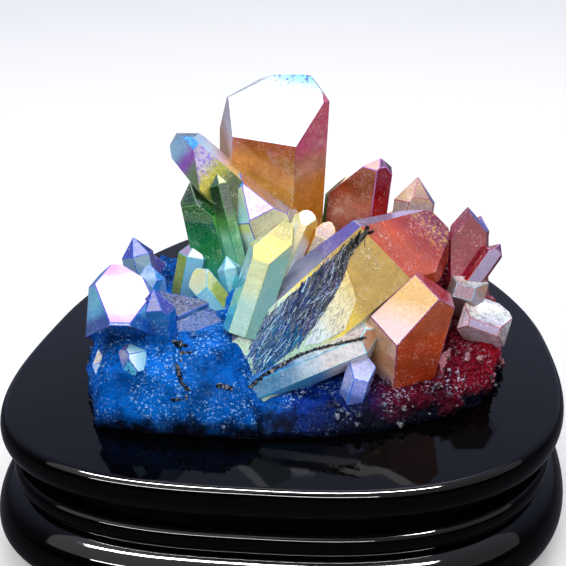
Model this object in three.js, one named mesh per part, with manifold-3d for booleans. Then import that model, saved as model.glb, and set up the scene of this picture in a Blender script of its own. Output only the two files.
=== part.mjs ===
// Aura quartz cluster on a black lacquered display stand. Millimetres, +Z up.
// The stand's underside is z = 0, and the origin is the middle of the footprint.

import * as THREE from 'three';
import { ConvexGeometry } from 'three/addons/geometries/ConvexGeometry.js';
import { mergeVertices } from 'three/addons/utils/BufferGeometryUtils.js';
import Module from 'manifold-3d';

const wasm = await Module();
wasm.setup();

// ---------------------------------------------------------------- driving dimensions

// Stand: widest outline of the top slab, and the heights of the mouldings from the table up.
const STAND_HALF_WIDTH = 65;
const STAND_EXTRA_DEPTH = 1.5;
const STAND_HEIGHT = 40;
const SLAB_THICKNESS = 8;
const SLAB_ROUND = 2;
const RECESS_INSET = 5.5;
const RECESS_HEIGHT = 5.4;
const FILLET_HEIGHT = 0.7;
const BEAD_INSET = 1.4;
const BEAD_HEIGHT = 5.6;
const BULGE_OVERHANG = 3;
const BULGE_TOP = 19.6;
const BULGE_WIDEST = 10.5;
const BULGE_BOTTOM = 4;
const PLINTH_INSET = 0.5;
const STAND_SIDES = 44;

// Outline of the stand: squarer in front, rounder behind, and slightly out of true as carved wood is.
const FRONT_SQUARENESS = 2.8;
const BACK_SQUARENESS = 1.95;
const OUTLINE_TAPER = 0.177;
const OUTLINE_SKEW = 0.048;
const OUTLINE_BOW = 0.069;

// Quartz: the cap faces rise from the prism faces at the mineral's own angle.
const SIDES = 6;
const CAP_RISE = THREE.MathUtils.degToRad(38.2);

// Depth of the block that cuts the cluster off flat where it rests.
const BASE_CUT = 90;

// ---------------------------------------------------------------- helpers

const rad = THREE.MathUtils.degToRad;

// A repeatable source of numbers from 0 to 1.
function dice(seed) {
  let state = seed;
  return () => {
    state = (state * 1664525 + 1013904223) % 4294967296;
    return state / 4294967296;
  };
}

function toSolid(geometry) {
  const bare = geometry.clone();
  bare.deleteAttribute('normal');
  bare.deleteAttribute('uv');
  const merged = mergeVertices(bare, 1e-4);
  return new wasm.Manifold(new wasm.Mesh({
    numProp: 3,
    vertProperties: new Float32Array(merged.attributes.position.array),
    triVerts: new Uint32Array(merged.index.array),
  }));
}

function toGeometry(solid) {
  const mesh = solid.getMesh();
  const geometry = new THREE.BufferGeometry();
  geometry.setAttribute('position', new THREE.BufferAttribute(new Float32Array(mesh.vertProperties), 3));
  geometry.setIndex([...mesh.triVerts]);
  geometry.computeVertexNormals();
  return geometry;
}

// A direction from its compass heading (0 = +X, 90 = +Y) and its rise above the horizon, in degrees.
function direction(heading, rise) {
  return new THREE.Vector3(
    Math.cos(rad(heading)) * Math.cos(rad(rise)),
    Math.sin(rad(heading)) * Math.cos(rad(rise)),
    Math.sin(rad(rise)),
  );
}

// The convex solid that lies behind every one of the given planes.
function solidBehind(planes) {
  const corners = [];
  const known = new Set();
  const meet = new THREE.Vector3();
  for (let i = 0; i < planes.length; i += 1) {
    for (let j = i + 1; j < planes.length; j += 1) {
      for (let k = j + 1; k < planes.length; k += 1) {
        const [a, b, c] = [planes[i], planes[j], planes[k]];
        const bc = b.normal.clone().cross(c.normal);
        const volume = a.normal.dot(bc);
        if (Math.abs(volume) < 1e-4) continue;
        meet.copy(bc).multiplyScalar(-a.constant);
        meet.addScaledVector(c.normal.clone().cross(a.normal), -b.constant);
        meet.addScaledVector(a.normal.clone().cross(b.normal), -c.constant);
        meet.divideScalar(volume);
        if (planes.some((plane) => plane.distanceToPoint(meet) > 1e-5)) continue;
        const key = meet.toArray().map((value) => Math.round(value * 1e3)).join();
        if (known.has(key)) continue;
        known.add(key);
        corners.push(meet.clone());
      }
    }
  }
  return toSolid(new ConvexGeometry(corners));
}

// A quartz point. It stands upright about its tip, is turned by roll, and then leans over towards
// heading. side holds each prism face's distance from the axis and cap each cap face's depth below
// the ideal tip, both counted anticlockwise from the face that looks to -Y. narrowing tilts a prism
// face in towards the tip, length is the reach from the tip down into the matrix, and chips are flats
// broken off the tip: heading, rise, and depth below the ideal tip.
function quartz({ tip, side = 3, cap = 0, length = 22, narrowing = [], chips = [], ...pose }) {
  const { lean = 0, heading = 0, roll = 0 } = pose;
  const apex = new THREE.Vector3(...tip);
  const tilt = new THREE.Quaternion().setFromAxisAngle(direction(heading + 90, 0), rad(lean));
  const axis = new THREE.Vector3(0, 0, 1).applyQuaternion(tilt);
  const planes = [];
  for (let i = 0; i < SIDES; i += 1) {
    const turn = roll - 90 + (360 / SIDES) * i;
    const sideDepth = Array.isArray(side) ? side[i] : side;
    const capDepth = Array.isArray(cap) ? cap[i] : cap;
    const prism = direction(turn, narrowing[i] ?? 0).applyQuaternion(tilt);
    const crown = direction(turn, THREE.MathUtils.radToDeg(CAP_RISE)).applyQuaternion(tilt);
    planes.push(new THREE.Plane(prism, -prism.dot(apex) - sideDepth));
    planes.push(new THREE.Plane(crown, -crown.dot(apex) + capDepth));
  }
  chips.forEach(([towards, rise, depth]) => {
    const chip = direction(towards, rise);
    planes.push(new THREE.Plane(chip, -chip.dot(apex) + depth));
  });
  planes.push(new THREE.Plane(axis.clone().negate(), axis.dot(apex) - length));
  return solidBehind(planes);
}

// A crowded or broken crystal, given flat by flat: heading, rise, and distance from its middle.
function block(middle, flats) {
  const centre = new THREE.Vector3(...middle);
  return solidBehind(flats.map(([heading, rise, distance]) => {
    const normal = direction(heading, rise);
    return new THREE.Plane(normal, -normal.dot(centre) - distance);
  }));
}

// ---------------------------------------------------------------- display stand

// A point of the stand's outline at half-width reach, where turn runs once round from 0 to 2 pi.
function outline(reach, turn) {
  const depth = reach + STAND_EXTRA_DEPTH;
  const across = Math.cos(turn);
  const along = Math.sin(turn);
  const power = 2 / (along > 0 ? BACK_SQUARENESS : FRONT_SQUARENESS);
  const x = reach * Math.sign(across) * Math.abs(across) ** power;
  const y = depth * Math.sign(along) * Math.abs(along) ** power;
  const bow = -OUTLINE_BOW * y * y / depth;
  return [x * (1 - OUTLINE_TAPER * y / depth) + OUTLINE_SKEW * y + bow, y];
}

// Points of a quarter or half round moulding: reach from r0 towards r1, height from z0 to z1.
function moulding(r0, z0, r1, z1, from, to, steps) {
  return Array.from({ length: steps + 1 }, (_, i) => {
    const angle = rad(from + ((to - from) * i) / steps);
    return new THREE.Vector2(r0 + (r1 - r0) * Math.cos(angle), z0 + (z1 - z0) * Math.sin(angle));
  });
}

function displayStand() {
  const widest = STAND_HALF_WIDTH;
  const slabBottom = STAND_HEIGHT - SLAB_THICKNESS;
  const slabMiddle = STAND_HEIGHT - SLAB_THICKNESS / 2;
  const recess = widest - RECESS_INSET;
  const filletBottom = slabBottom - RECESS_HEIGHT - FILLET_HEIGHT;
  const bead = widest - BEAD_INSET;
  const beadMiddle = filletBottom - BEAD_HEIGHT / 2;
  const bulge = widest + BULGE_OVERHANG;
  const shoulder = widest - 4;
  const plinth = widest - PLINTH_INSET;
  const profile = [
    new THREE.Vector2(0, 0),
    new THREE.Vector2(plinth, 0),
    new THREE.Vector2(plinth, BULGE_BOTTOM),
    ...moulding(shoulder, BULGE_WIDEST, bulge, BULGE_BOTTOM, 70, 0, 4),
    ...moulding(shoulder, BULGE_WIDEST, bulge, BULGE_TOP, 15, 90, 5),
    ...moulding(bead - 1.5, beadMiddle, bead, filletBottom, -75, 75, 4),
    new THREE.Vector2(bead - 0.9, filletBottom),
    new THREE.Vector2(bead - 0.9, slabBottom - RECESS_HEIGHT),
    new THREE.Vector2(recess, slabBottom - RECESS_HEIGHT),
    new THREE.Vector2(recess, slabBottom),
    ...moulding(widest - SLAB_ROUND, slabMiddle, widest, STAND_HEIGHT, -90, 90, 6),
    new THREE.Vector2(0, STAND_HEIGHT),
  ];
  const turned = new THREE.LatheGeometry(profile, STAND_SIDES);
  const position = turned.attributes.position;
  for (let i = 0; i < position.count; i += 1) {
    const reach = Math.hypot(position.getX(i), position.getZ(i));
    const turn = Math.atan2(position.getX(i), position.getZ(i));
    const [x, y] = reach > 0 ? outline(reach, turn) : [0, 0];
    position.setXYZ(i, x, y, position.getY(i));
  }
  return toSolid(turned);
}

// ---------------------------------------------------------------- quartz cluster

// The tall crystals that give the cluster its outline, each by its colour in the aura coating.
const MAIN_CRYSTALS = {
  amberPoint: {
    tip: [-7, 14, 70], lean: 2, roll: -14, length: 66,
    side: [9.3, 12.3, 12.2, 10, 20.6, 11.4], cap: [5.1, -3.1, -3, -3, 0, -1.6],
    chips: [[165, 62, 5.1], [0, 73, 3.4], [88, 58, 4.6]],
  },
  rainbowBlade: {
    tip: [35, -8, 38.2], lean: 52, heading: 28, roll: -16, length: 74,
    side: [6, 9, 9, 9, 7.5, 12.2], cap: [4.4, 0, -3, -3, -3, 0], narrowing: [6, 0, 0, 0, 10, 4],
  },
  greenStem: {
    tip: [-26.6, -3, 43], lean: 18, heading: 150, roll: -14, length: 40,
    side: [4, 6, 4, 4, 4, 3.8], cap: [0.4, 0.9, 0, 0, 0, 0], narrowing: [0, 0, 0, 0, 0, 5],
  },
  violetBlade: {
    tip: [-34.5, 8, 52.2], lean: 52, heading: 168, roll: 38, length: 48,
    side: [7.2, 3.4, 7, 6, 5, 11.6], cap: [0.2, 1.9, 0, 0, 0, 1.4],
    chips: [[186, 34, 3.6]],
  },
  redPoint: {
    tip: [18, 14, 46.5], lean: 5, heading: 33, roll: -29, length: 42,
    side: [4, 5, 5.2, 7, 9, 10.4], cap: [0, -1.2, 0, 0, 4.2, 0],
  },
  crimsonPoint: {
    tip: [41.8, 4, 35.2], lean: 27, heading: 95, roll: 10, length: 35,
    side: [3.3, 4.7, 4, 4, 4, 6.3], cap: [-0.8, 0.5, 0, 0, 0, 0.4],
  },
  pearlPoint: {
    tip: [-40, -22, 32], lean: 46, heading: 94, roll: 7, length: 20,
    side: [10, 8, 8, 8, 8, 6], cap: [4, 0.6, 0, -2, -4.4, 0.2],
  },
  bluePillar: {
    tip: [-31.1, -33, 29.1], lean: 2, heading: 180, roll: 6, length: 34,
    side: [3.2, 4.1, 3.8, 4, 4.2, 3.8],
  },
  paleGem: {
    tip: [48, -14, 21], lean: 57, heading: 70, roll: -5, length: 13,
    side: [4.3, 5, 5, 5, 5, 5.6], cap: [3.3, -2, -2, -2, -2, -1],
  },
};

// The smaller points crowded between them.
const SMALL_CRYSTALS = [
  // behind the blade, from the amber point to the right
  { tip: [29.5, 14, 38], lean: 19, heading: 74, roll: 20, side: [4, 5, 5, 5, 5, 5], length: 32 },
  { tip: [44, -4, 23], lean: 65, heading: 72, roll: -14, side: 4, cap: [3, 0, 0, 0, 0, 0], length: 14 },
  { tip: [49.6, -4, 28.8], lean: 44, heading: 38, side: [1.6, 2, 2, 2, 2, 2.4], length: 14 },
  { tip: [45.6, 8, 30.5], lean: 32, heading: 73, roll: 20 },
  // the green and yellow fan in the middle
  {
    tip: [-20, -5, 45.6], lean: 22, heading: 130, roll: -20, length: 36,
    side: [2.2, 2, 2.2, 2.2, 2.2, 2.6],
  },
  {
    tip: [-17.8, 2, 44], lean: 20, heading: 170, roll: 32, length: 26,
    side: [10.9, 10.8, 3.5, 2, 5, 8.9], cap: [-1.9, 0, 0, 0, 0, 0], chips: [[200, 50, 3]],
  },
  {
    tip: [-2, 3, 38], lean: 30, heading: 50, roll: 12, length: 36,
    side: [5, 5, 6, 6, 6, 6.5], cap: [4, 0, 0, 0, 0, 1],
  },
  {
    tip: [-3.1, -17, 40.4], lean: 33, heading: 60, roll: -13, length: 29,
    side: [5.3, 4.1, 4, 4, 5, 4.8], cap: [2.8, 0.2, -2, -2, -2, 1.5],
  },
  {
    tip: [3, -2, 36.5], lean: 50, heading: 65, length: 32,
    side: [3.3, 2.4, 3, 3, 3, 2.4], cap: [1.5, 0.2, 0, 0, 0, 0.3],
  },
  { tip: [8, -4, 34], lean: 37, heading: 54, roll: -10, cap: [1, 0, 0, 0, 0, 0], length: 26 },
  { tip: [-17, -14, 28], lean: 30, heading: 120, roll: 15, side: 2.6, length: 18 },
  // the blue points on the left
  { tip: [-41.5, -6, 28], lean: 23, heading: 127, roll: 30, side: 3.6 },
  { tip: [-25, -6, 28.5], lean: 20, heading: 58, roll: 10, side: 3.6 },
  { tip: [-26, -16, 26], lean: 50, heading: 149, roll: -10, side: 3.2, cap: [2, 0, 0, 0, 0, 0] },
  { tip: [-36, -16, 26.5], lean: 27, heading: 110, roll: -10, side: 3.6, cap: [1, 0, 0, 0, 0, 0] },
  { tip: [-45, -34, 13], lean: 45, heading: 124, length: 14 },
  {
    tip: [-36.3, -44.6, 18.6], lean: 39, heading: -97, roll: -24, length: 16,
    side: [2.6, 4, 4, 4, 4, 6.3], cap: [0.7, -1.9, 0, 0, 0, 1.4],
  },
  // along the front edge, under the blade
  { tip: [39, -24, 12.5], lean: 23, heading: 71, side: [3, 4, 4, 4, 4, 4], cap: [2, 0, 0, 0, 0, 0] },
  { tip: [21.5, -28, 18], lean: 71, heading: 17, roll: -10, side: [5, 5, 5, 5, 4, 3.4], length: 42 },
  { tip: [17.5, -33, 15.5], lean: 29, heading: 61, roll: 10, cap: [2, 0, 0, 0, 0, 0] },
];

// Crystals broken across their tops: the orange one at the front right, and the blue one on the left.
const BROKEN_CRYSTALS = [
  {
    middle: [28.6, -30, 15],
    flats: [
      [-114, 38, 7], [-62, -1, 2.5], [-135, -1, 6.8], [-1, -10, 6.7],
      [14, 51, 12.8], [150, 35, 11.8], [100, 0, 9], [0, -90, 16],
    ],
  },
  {
    middle: [-22.5, -27, 11],
    flats: [
      [-60, 68, 5], [-100, 8, 9.5], [188, -15, 7.6], [0, 5, 8],
      [-40, 10, 9], [-150, 8, 9], [90, 0, 3.5], [0, -90, 11],
    ],
  },
  {
    middle: [-22.5, -27, 11],
    flats: [
      [-60, 68, 6.6], [-52, 10, 4], [188, -24, 7.4], [-130, 12, 8.4],
      [90, 0, 3.5], [30, 0, 6.5], [0, -90, 11],
    ],
  },
  {
    middle: [-22.5, -27, 11],
    flats: [
      [-60, 68, 7.4], [-50, 14, 0.6], [188, -24, 7.4], [-132, 14, 6],
      [90, 0, 4.5], [35, 0, 6.8], [0, -90, 11],
    ],
  },
];

// Points that close the cluster behind, where it slopes down to the stand.
const BACK_CRYSTALS = [
  { tip: [-38, 22, 6], lean: 75, heading: 140, roll: 10, side: 4 },
  { tip: [-21, 30, 25], lean: 30, heading: 108, roll: 24, side: 5.5, cap: [0, 0, 2, 0, 0, 0], length: 34 },
  { tip: [-3, 37, 27], lean: 42, heading: 92, roll: 5, side: 5, length: 28 },
  { tip: [12, 30, 32], lean: 26, heading: 80, roll: -12, side: 5.5, cap: [0, 0, 0, 2, 0, 0], length: 34 },
  { tip: [27, 30, 22], lean: 44, heading: 62, roll: 18, side: 4.6, length: 26 },
  { tip: [42, 18, 19], lean: 46, heading: 40, roll: 8, side: 4.2, length: 24 },
  { tip: [-47, 8, 15], lean: 56, heading: 165, roll: 14, side: 4 },
  { tip: [-2, 26, 44], lean: 12, heading: 100, roll: 12, side: 5.4, length: 42 },
];

// The matrix grew in four masses: their corners on the stand, and their heights.
const MASSES = [
  {
    height: 16,
    corners: [[-44, -47], [-30, -49], [-6, -49], [-2, -30], [-10, 4], [-50, 6], [-52.5, -14], [-48.5, -36]],
  },
  {
    height: 6,
    corners: [[-14, -49], [10, -47], [22, -44], [39, -37], [44, -18], [10, -2], [-14, -10]],
  },
  {
    height: 11,
    corners: [[36, -38], [49, -26], [52, -18], [50, 8], [34, 12], [30, -12]],
  },
  {
    height: 11,
    corners: [[-50, 4], [-40, 22], [-22, 32], [0, 35], [22, 31], [40, 22], [50, 4], [20, -14], [-20, -14]],
  },
];

// One mass of the matrix: three rings of corners that step in as they rise.
function mass({ height, corners }, seed) {
  const roll = dice(seed);
  const mean = (axis) => corners.reduce((sum, corner) => sum + corner[axis], 0) / corners.length;
  const middle = [mean(0), mean(1)];
  const points = [];
  [[0, 0], [0.3, 0.02], [1, 0.3]].forEach(([rise, inset]) => {
    corners.forEach(([x, y]) => {
      const wobble = rise > 0 ? 2 * roll() - 1 : 0;
      const keep = 1 - inset * (1 + 0.6 * wobble);
      points.push(new THREE.Vector3(
        middle[0] + (x - middle[0]) * keep,
        middle[1] + (y - middle[1]) * keep,
        rise * height * (1 + 0.2 * wobble),
      ));
    });
  });
  return toSolid(new ConvexGeometry(points));
}

// A rounded lump of crystal grains: the hull of points scattered over an ellipsoid.
function lump([x, y, z], [rx, ry, rz], seed, count = 22) {
  const roll = dice(seed);
  const corners = Array.from({ length: count }, () => {
    const heading = 360 * roll();
    const rise = THREE.MathUtils.radToDeg(Math.asin(2 * roll() - 1));
    return direction(heading, rise).multiply(new THREE.Vector3(rx, ry, rz)).add(new THREE.Vector3(x, y, z));
  });
  return toSolid(new ConvexGeometry(corners));
}

const LUMPS = [
  [[-40, -34, 6], [9, 11, 9]], [[-24, -37, 6], [11, 9, 9]], [[-12, -37, 4], [10, 10, 9]],
  [[-12, -18, 9], [13, 14, 15]], [[46, -19, 5], [6, 10, 10]], [[41, -28, 3], [8, 8, 9]],
  [[34, -32, 2], [9, 8, 6]], [[-42, -14, 8], [10, 15, 11]], [[-24, 0, 8], [16, 20, 13]],
  [[-2, 2, 10], [20, 22, 16]], [[22, 6, 10], [20, 18, 15]], [[40, 2, 7], [12, 15, 11]],
  [[-8, 20, 9], [24, 14, 15]], [[24, 18, 8], [18, 12, 13]], [[-34, 14, 4], [13, 13, 8]],
];

// Druse: rows of grains round the matrix, each row at its rise above the foot of the cluster.
const DRUSE_HEART = new THREE.Vector3(0, -8, 0);
const DRUSE_FAR = 200;
const GRAIN_SIZES = { smallest: 2, spread: 2.4, sunk: 0.4, rough: 0.8, points: 9 };
const POINT_SIZES = { height: 3.4, length: 9, side: 1.2, spread: 1.2, tilt: 30, swing: 60 };
const DRUSE_ROWS = [
  { rise: 3, count: 30 },
  { rise: 9, count: 30 },
  { rise: 16, count: 28 },
  { rise: 25, count: 22 },
  { rise: 38, count: 16 },
];

// Broken grains and small points that stand out of the skin of the matrix.
function druse(matrix) {
  const skin = new THREE.Mesh(toGeometry(matrix));
  const roll = dice(29);
  const grains = [];
  DRUSE_ROWS.forEach(({ rise, count }, row) => {
    for (let i = 0; i < count; i += 1) {
      const heading = (360 * (i + 0.8 * roll())) / count;
      const outward = direction(heading, rise + 5 * roll());
      const start = DRUSE_HEART.clone().addScaledVector(outward, DRUSE_FAR);
      const [hit] = new THREE.Raycaster(start, outward.clone().negate()).intersectObject(skin);
      const size = GRAIN_SIZES.smallest + GRAIN_SIZES.spread * roll();
      const seat = hit.point.addScaledVector(outward, -GRAIN_SIZES.sunk * size);
      if (i % 3 > 0) {
        const height = size * (GRAIN_SIZES.rough + 0.5 * roll());
        grains.push(lump(seat.toArray(), [size, size, height], 100 * row + i, GRAIN_SIZES.points));
      } else {
        grains.push(quartz({
          tip: seat.addScaledVector(outward, POINT_SIZES.height).toArray(),
          lean: 90 - rise - POINT_SIZES.tilt * roll(),
          heading: heading + POINT_SIZES.swing * (roll() - 0.5),
          roll: POINT_SIZES.swing * roll(),
          side: POINT_SIZES.side + POINT_SIZES.spread * roll(),
          length: POINT_SIZES.length,
        }));
      }
    }
  });
  return grains;
}

function fuse(solids) {
  return solids.reduce((whole, solid) => whole.add(solid));
}

function quartzCluster() {
  const matrix = fuse([
    ...MASSES.map((shape, i) => mass(shape, 11 + i)),
    ...LUMPS.map(([middle, radii], i) => lump(middle, radii, 41 + i)),
  ]);
  const grown = fuse([
    matrix,
    ...Object.values(MAIN_CRYSTALS).map(quartz),
    ...SMALL_CRYSTALS.map(quartz),
    ...BACK_CRYSTALS.map(quartz),
    ...BROKEN_CRYSTALS.map(({ middle, flats }) => block(middle, flats)),
    ...druse(matrix),
  ]);
  const below = new THREE.BoxGeometry(2 * BASE_CUT, 2 * BASE_CUT, BASE_CUT);
  below.translate(0, 0, -BASE_CUT / 2);
  return grown.subtract(toSolid(below)).simplify(0.01);
}

// ---------------------------------------------------------------- scene graph

const lacquer = new THREE.MeshStandardMaterial({ color: 0x08080a, roughness: 0.12, metalness: 0 });
const aura = new THREE.MeshStandardMaterial({ color: 0x3f8fd0, roughness: 0.08, metalness: 0 });

const stand = new THREE.Mesh(toGeometry(displayStand()), lacquer);
stand.name = 'display_stand';

const cluster = new THREE.Mesh(toGeometry(quartzCluster()), aura);
cluster.name = 'quartz_cluster';

// The outline is lopsided, so the whole part moves over until its footprint is centred.
const footprint = new THREE.Box3().setFromObject(stand).getCenter(new THREE.Vector3());
stand.position.set(-footprint.x, -footprint.y, 0);
cluster.position.set(-footprint.x, -footprint.y, STAND_HEIGHT);

const part = new THREE.Group();
part.add(stand, cluster);

export default part;
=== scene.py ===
import math
import random

import bmesh
import bpy
from mathutils import Matrix, Quaternion, Vector, noise


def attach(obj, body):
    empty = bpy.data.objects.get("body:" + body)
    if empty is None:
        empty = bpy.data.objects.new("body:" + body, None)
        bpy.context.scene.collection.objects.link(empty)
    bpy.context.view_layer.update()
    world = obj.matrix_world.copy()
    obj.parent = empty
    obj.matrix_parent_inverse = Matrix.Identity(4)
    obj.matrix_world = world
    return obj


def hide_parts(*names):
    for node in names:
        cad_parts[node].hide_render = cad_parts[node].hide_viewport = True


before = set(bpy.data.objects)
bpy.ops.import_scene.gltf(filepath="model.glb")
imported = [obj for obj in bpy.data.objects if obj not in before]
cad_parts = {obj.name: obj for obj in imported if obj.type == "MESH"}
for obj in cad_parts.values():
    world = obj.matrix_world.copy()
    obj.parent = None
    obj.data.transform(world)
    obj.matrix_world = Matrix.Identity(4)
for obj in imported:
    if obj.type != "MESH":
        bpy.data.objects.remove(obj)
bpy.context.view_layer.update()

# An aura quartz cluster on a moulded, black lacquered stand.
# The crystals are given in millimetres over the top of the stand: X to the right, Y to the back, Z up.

MM = 0.001
STAND_HEIGHT = 40.0
SIDES = 6
CAP_RISE = 38.2
# In millimetres: the gap over the lacquer, and how far a crystal's edges are softened.
ABOVE_LACQUER = 0.05
SOFT_EDGE = 0.14
# A facet's own faces point its way by at least this cosine. The others belong to its softened edges.
ON_A_FACET = 0.9995


# ---------------------------------------------------------------- small tools


def unless_quick(full):
    return full


def rgb(red, green, blue):
    """A paint chip's red, green and blue, 0 to 255, as the linear colour that the shaders use."""
    linear = []
    for value in (red, green, blue):
        value /= 255
        linear.append(value / 12.92 if value <= 0.04045 else ((value + 0.055) / 1.055) ** 2.4)
    return (*linear, 1.0)


def direction(heading, rise):
    """A unit vector from its compass heading (0 = +X, 90 = +Y) and its rise, in degrees."""
    h, r = math.radians(heading), math.radians(rise)
    return Vector((math.cos(h) * math.cos(r), math.sin(h) * math.cos(r), math.sin(r)))


def mesh_from(bm, name):
    mesh = bpy.data.meshes.new(name)
    bm.to_mesh(mesh)
    bm.free()
    return mesh


def new_piece(name, mesh, replaced, finish, smooth=False):
    """Puts a finished mesh on the scene, on the root body, in the place of its CAD node."""
    piece = bpy.data.objects.new(name, mesh)
    bpy.context.scene.collection.objects.link(piece)
    for one in finish if isinstance(finish, (list, tuple)) else [finish]:
        mesh.materials.append(one)
    mesh.polygons.foreach_set("use_smooth", [smooth] * len(mesh.polygons))
    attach(piece, "root")
    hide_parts(replaced)
    return piece


# ---------------------------------------------------------------- display stand

HALF_WIDTH = 65.0
EXTRA_DEPTH = 1.5
FRONT_SQUARENESS = 2.8
BACK_SQUARENESS = 1.95
OUTLINE_TAPER = 0.177
OUTLINE_SKEW = 0.048
OUTLINE_BOW = 0.069
STAND_TURNS = 360
SHARP_TURN = 40


def stand_outline(reach, turn):
    """A point of the stand's outline: squarish in front, rounder behind, tapered and a little askew."""
    depth = reach + EXTRA_DEPTH
    across, along = math.cos(turn), math.sin(turn)
    power = 2 / (BACK_SQUARENESS if along > 0 else FRONT_SQUARENESS)
    x = reach * math.copysign(abs(across) ** power, across)
    y = depth * math.copysign(abs(along) ** power, along)
    return x * (1 - OUTLINE_TAPER * y / depth) + OUTLINE_SKEW * y - OUTLINE_BOW * y * y / depth, y


def footprint_centre():
    """How far the middle of the lopsided stand lies from the middle of its outline curve."""
    xs = [stand_outline(HALF_WIDTH + 3, math.tau * i / 720)[0] for i in range(720)]
    return (min(xs) + max(xs)) / 2


SHIFT = -footprint_centre()


def rounded(r0, z0, r1, z1, start, end, steps):
    """Points of a round moulding from reach r0 towards r1 and height z0 towards z1."""
    turned = [math.radians(start + (end - start) * i / steps) for i in range(steps + 1)]
    return [(r0 + (r1 - r0) * math.cos(a), z0 + (z1 - z0) * math.sin(a)) for a in turned]


def stand_profile():
    """The moulding as (reach, height), from the foot up: bulge, bead, recess, slab, then the top inward."""
    w = HALF_WIDTH
    slab_low, slab_mid = STAND_HEIGHT - 8, STAND_HEIGHT - 4
    line_low = slab_low - 6.1
    bead_mid = line_low - 2.8
    return [
        (0.01, 0),
        (w - 1.1, 0),
        *rounded(w - 1.1, 0.6, w - 0.5, 0, 90, 0, 3),
        (w - 0.5, 3.7),
        *rounded(w - 4, 10.5, w + 3, 4, 70, 0, 14),
        *rounded(w - 4, 10.5, w + 3, 19.6, 4, 88, 18),
        *rounded(w - 2.9, bead_mid, w - 1.4, line_low, -75, 75, 14),
        (w - 2.3, line_low),
        (w - 2.3, slab_low - 5.4),
        (w - 5.5, slab_low - 5.4),
        (w - 5.5, slab_low),
        *rounded(w - 2, slab_mid, w, STAND_HEIGHT, -90, 90, 20),
        *[(w - 2 - step, STAND_HEIGHT) for step in (0.4, 1.5, 5, 12, 22, 34, 48, 62.99)],
    ]


def lacquered_stand(finish):
    """The stand, swept round its own lopsided outline: a rounded slab over a recess, a bead and a bulge."""
    profile = stand_profile()
    bm = bmesh.new()
    rings = []
    for reach, z in profile:
        ring = []
        for i in range(STAND_TURNS):
            x, y = stand_outline(reach, math.tau * i / STAND_TURNS)
            ring.append(bm.verts.new(((x + SHIFT) * MM, y * MM, z * MM)))
        rings.append(ring)
    for low, high in zip(rings, rings[1:]):
        for i in range(STAND_TURNS):
            j = (i + 1) % STAND_TURNS
            bm.faces.new((low[i], low[j], high[j], high[i]))
    bm.faces.new(list(reversed(rings[0])))
    bm.faces.new(rings[-1])
    bmesh.ops.recalc_face_normals(bm, faces=bm.faces)
    mesh = mesh_from(bm, "lacquered_stand")
    piece = new_piece("lacquered_stand", mesh, "display_stand", finish, smooth=True)
    mesh.set_sharp_from_angle(angle=math.radians(SHARP_TURN))
    return piece


# ---------------------------------------------------------------- shapes of the crystals


def corners_behind(planes):
    """The corners of the convex solid behind every plane. A plane is its outward normal and distance."""
    corners = []
    for i, (na, da) in enumerate(planes):
        for j in range(i + 1, len(planes)):
            nb, db = planes[j]
            for nc, dc in planes[j + 1:]:
                volume = na.dot(nb.cross(nc))
                if abs(volume) < 1e-4:
                    continue
                meet = (nb.cross(nc) * da + nc.cross(na) * db + na.cross(nb) * dc) / volume
                if any(n.dot(meet) > d + 1e-5 for n, d in planes):
                    continue
                if all((meet - other).length > 1e-3 for other in corners):
                    corners.append(meet)
    return corners


def spread(value):
    return list(value) if isinstance(value, (list, tuple)) else [value] * SIDES


def point_planes(shape):
    """A quartz point's faces in its own frame: tip at the origin, long axis up, and its way to the stand."""
    lean, heading, roll = (shape.get(key, 0) for key in ("lean", "heading", "roll"))
    tilt = Quaternion(direction(heading + 90, 0), math.radians(lean))
    turned = tilt @ Quaternion((0, 0, 1), math.radians(roll))
    side, cap = spread(shape.get("side", 3)), spread(shape.get("cap", 0))
    narrowing = spread(shape.get("narrowing", 0))
    planes = []
    for i in range(SIDES):
        around = -90 + 60 * i
        planes.append((direction(around, narrowing[i]), side[i]))
        planes.append((direction(around, CAP_RISE), -cap[i]))
    for towards, rise, depth in shape.get("chips", ()):
        planes.append((turned.inverted() @ direction(towards, rise), -depth))
    planes.append((Vector((0, 0, -1)), shape.get("length", 22)))
    return planes, turned, Vector(shape["tip"])


def block_planes(shape):
    """A broken block's flats: heading, rise and distance from its middle."""
    planes = [(direction(heading, rise), distance) for heading, rise, distance in shape["flats"]]
    return planes, Quaternion(), Vector(shape["middle"])


def planes_of(shape):
    """Every crystal ends where it meets the stand, a hair above the lacquer."""
    planes, turned, seat = point_planes(shape) if "tip" in shape else block_planes(shape)
    down = turned.inverted() @ Vector((0, 0, -1))
    return [*planes, (down, seat.z - ABOVE_LACQUER)], turned, seat


def seated(piece, turned, seat):
    """Puts a crystal's own frame, tip at the origin and Z up its long axis, in its place on the stand."""
    place = Vector((seat.x + SHIFT, seat.y, seat.z + STAND_HEIGHT)) * MM
    piece.matrix_world = Matrix.Translation(place) @ turned.to_matrix().to_4x4()


# Painted shade along a crystal's softened edges, a deeper and mostly darker line, for the bodies it suits.
EDGES = {
    "edge_navy": ("pearl_blue", "deep_blue", "royal_blue", "sky_blue", "stepped_blue", "lavender"),
    "edge_moss": ("dark_green", "leaf_green", "sea_green"),
    "edge_olive": ("olive_gold", "lemon", "cream", "orange"),
    "edge_teal": ("cyan", "ice_blue", "plate", "white_gold"),
    "edge_dark": ("red_brown", "peach", "crimson", "ruby", "ember"),
}


def facet_names(shape):
    """The facets in the order of their planes: m0 to m5 are sides, r0 to r5 the cap, and so on."""
    if "tip" in shape:
        names = [f"{kind}{i}" for i in range(SIDES) for kind in "mr"]
        return [*names, *(f"chip{i}" for i in range(len(shape.get("chips", ())))), "foot", "floor"]
    return [*(f"flat{i}" for i in range(len(shape["flats"]))), "floor"]


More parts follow.
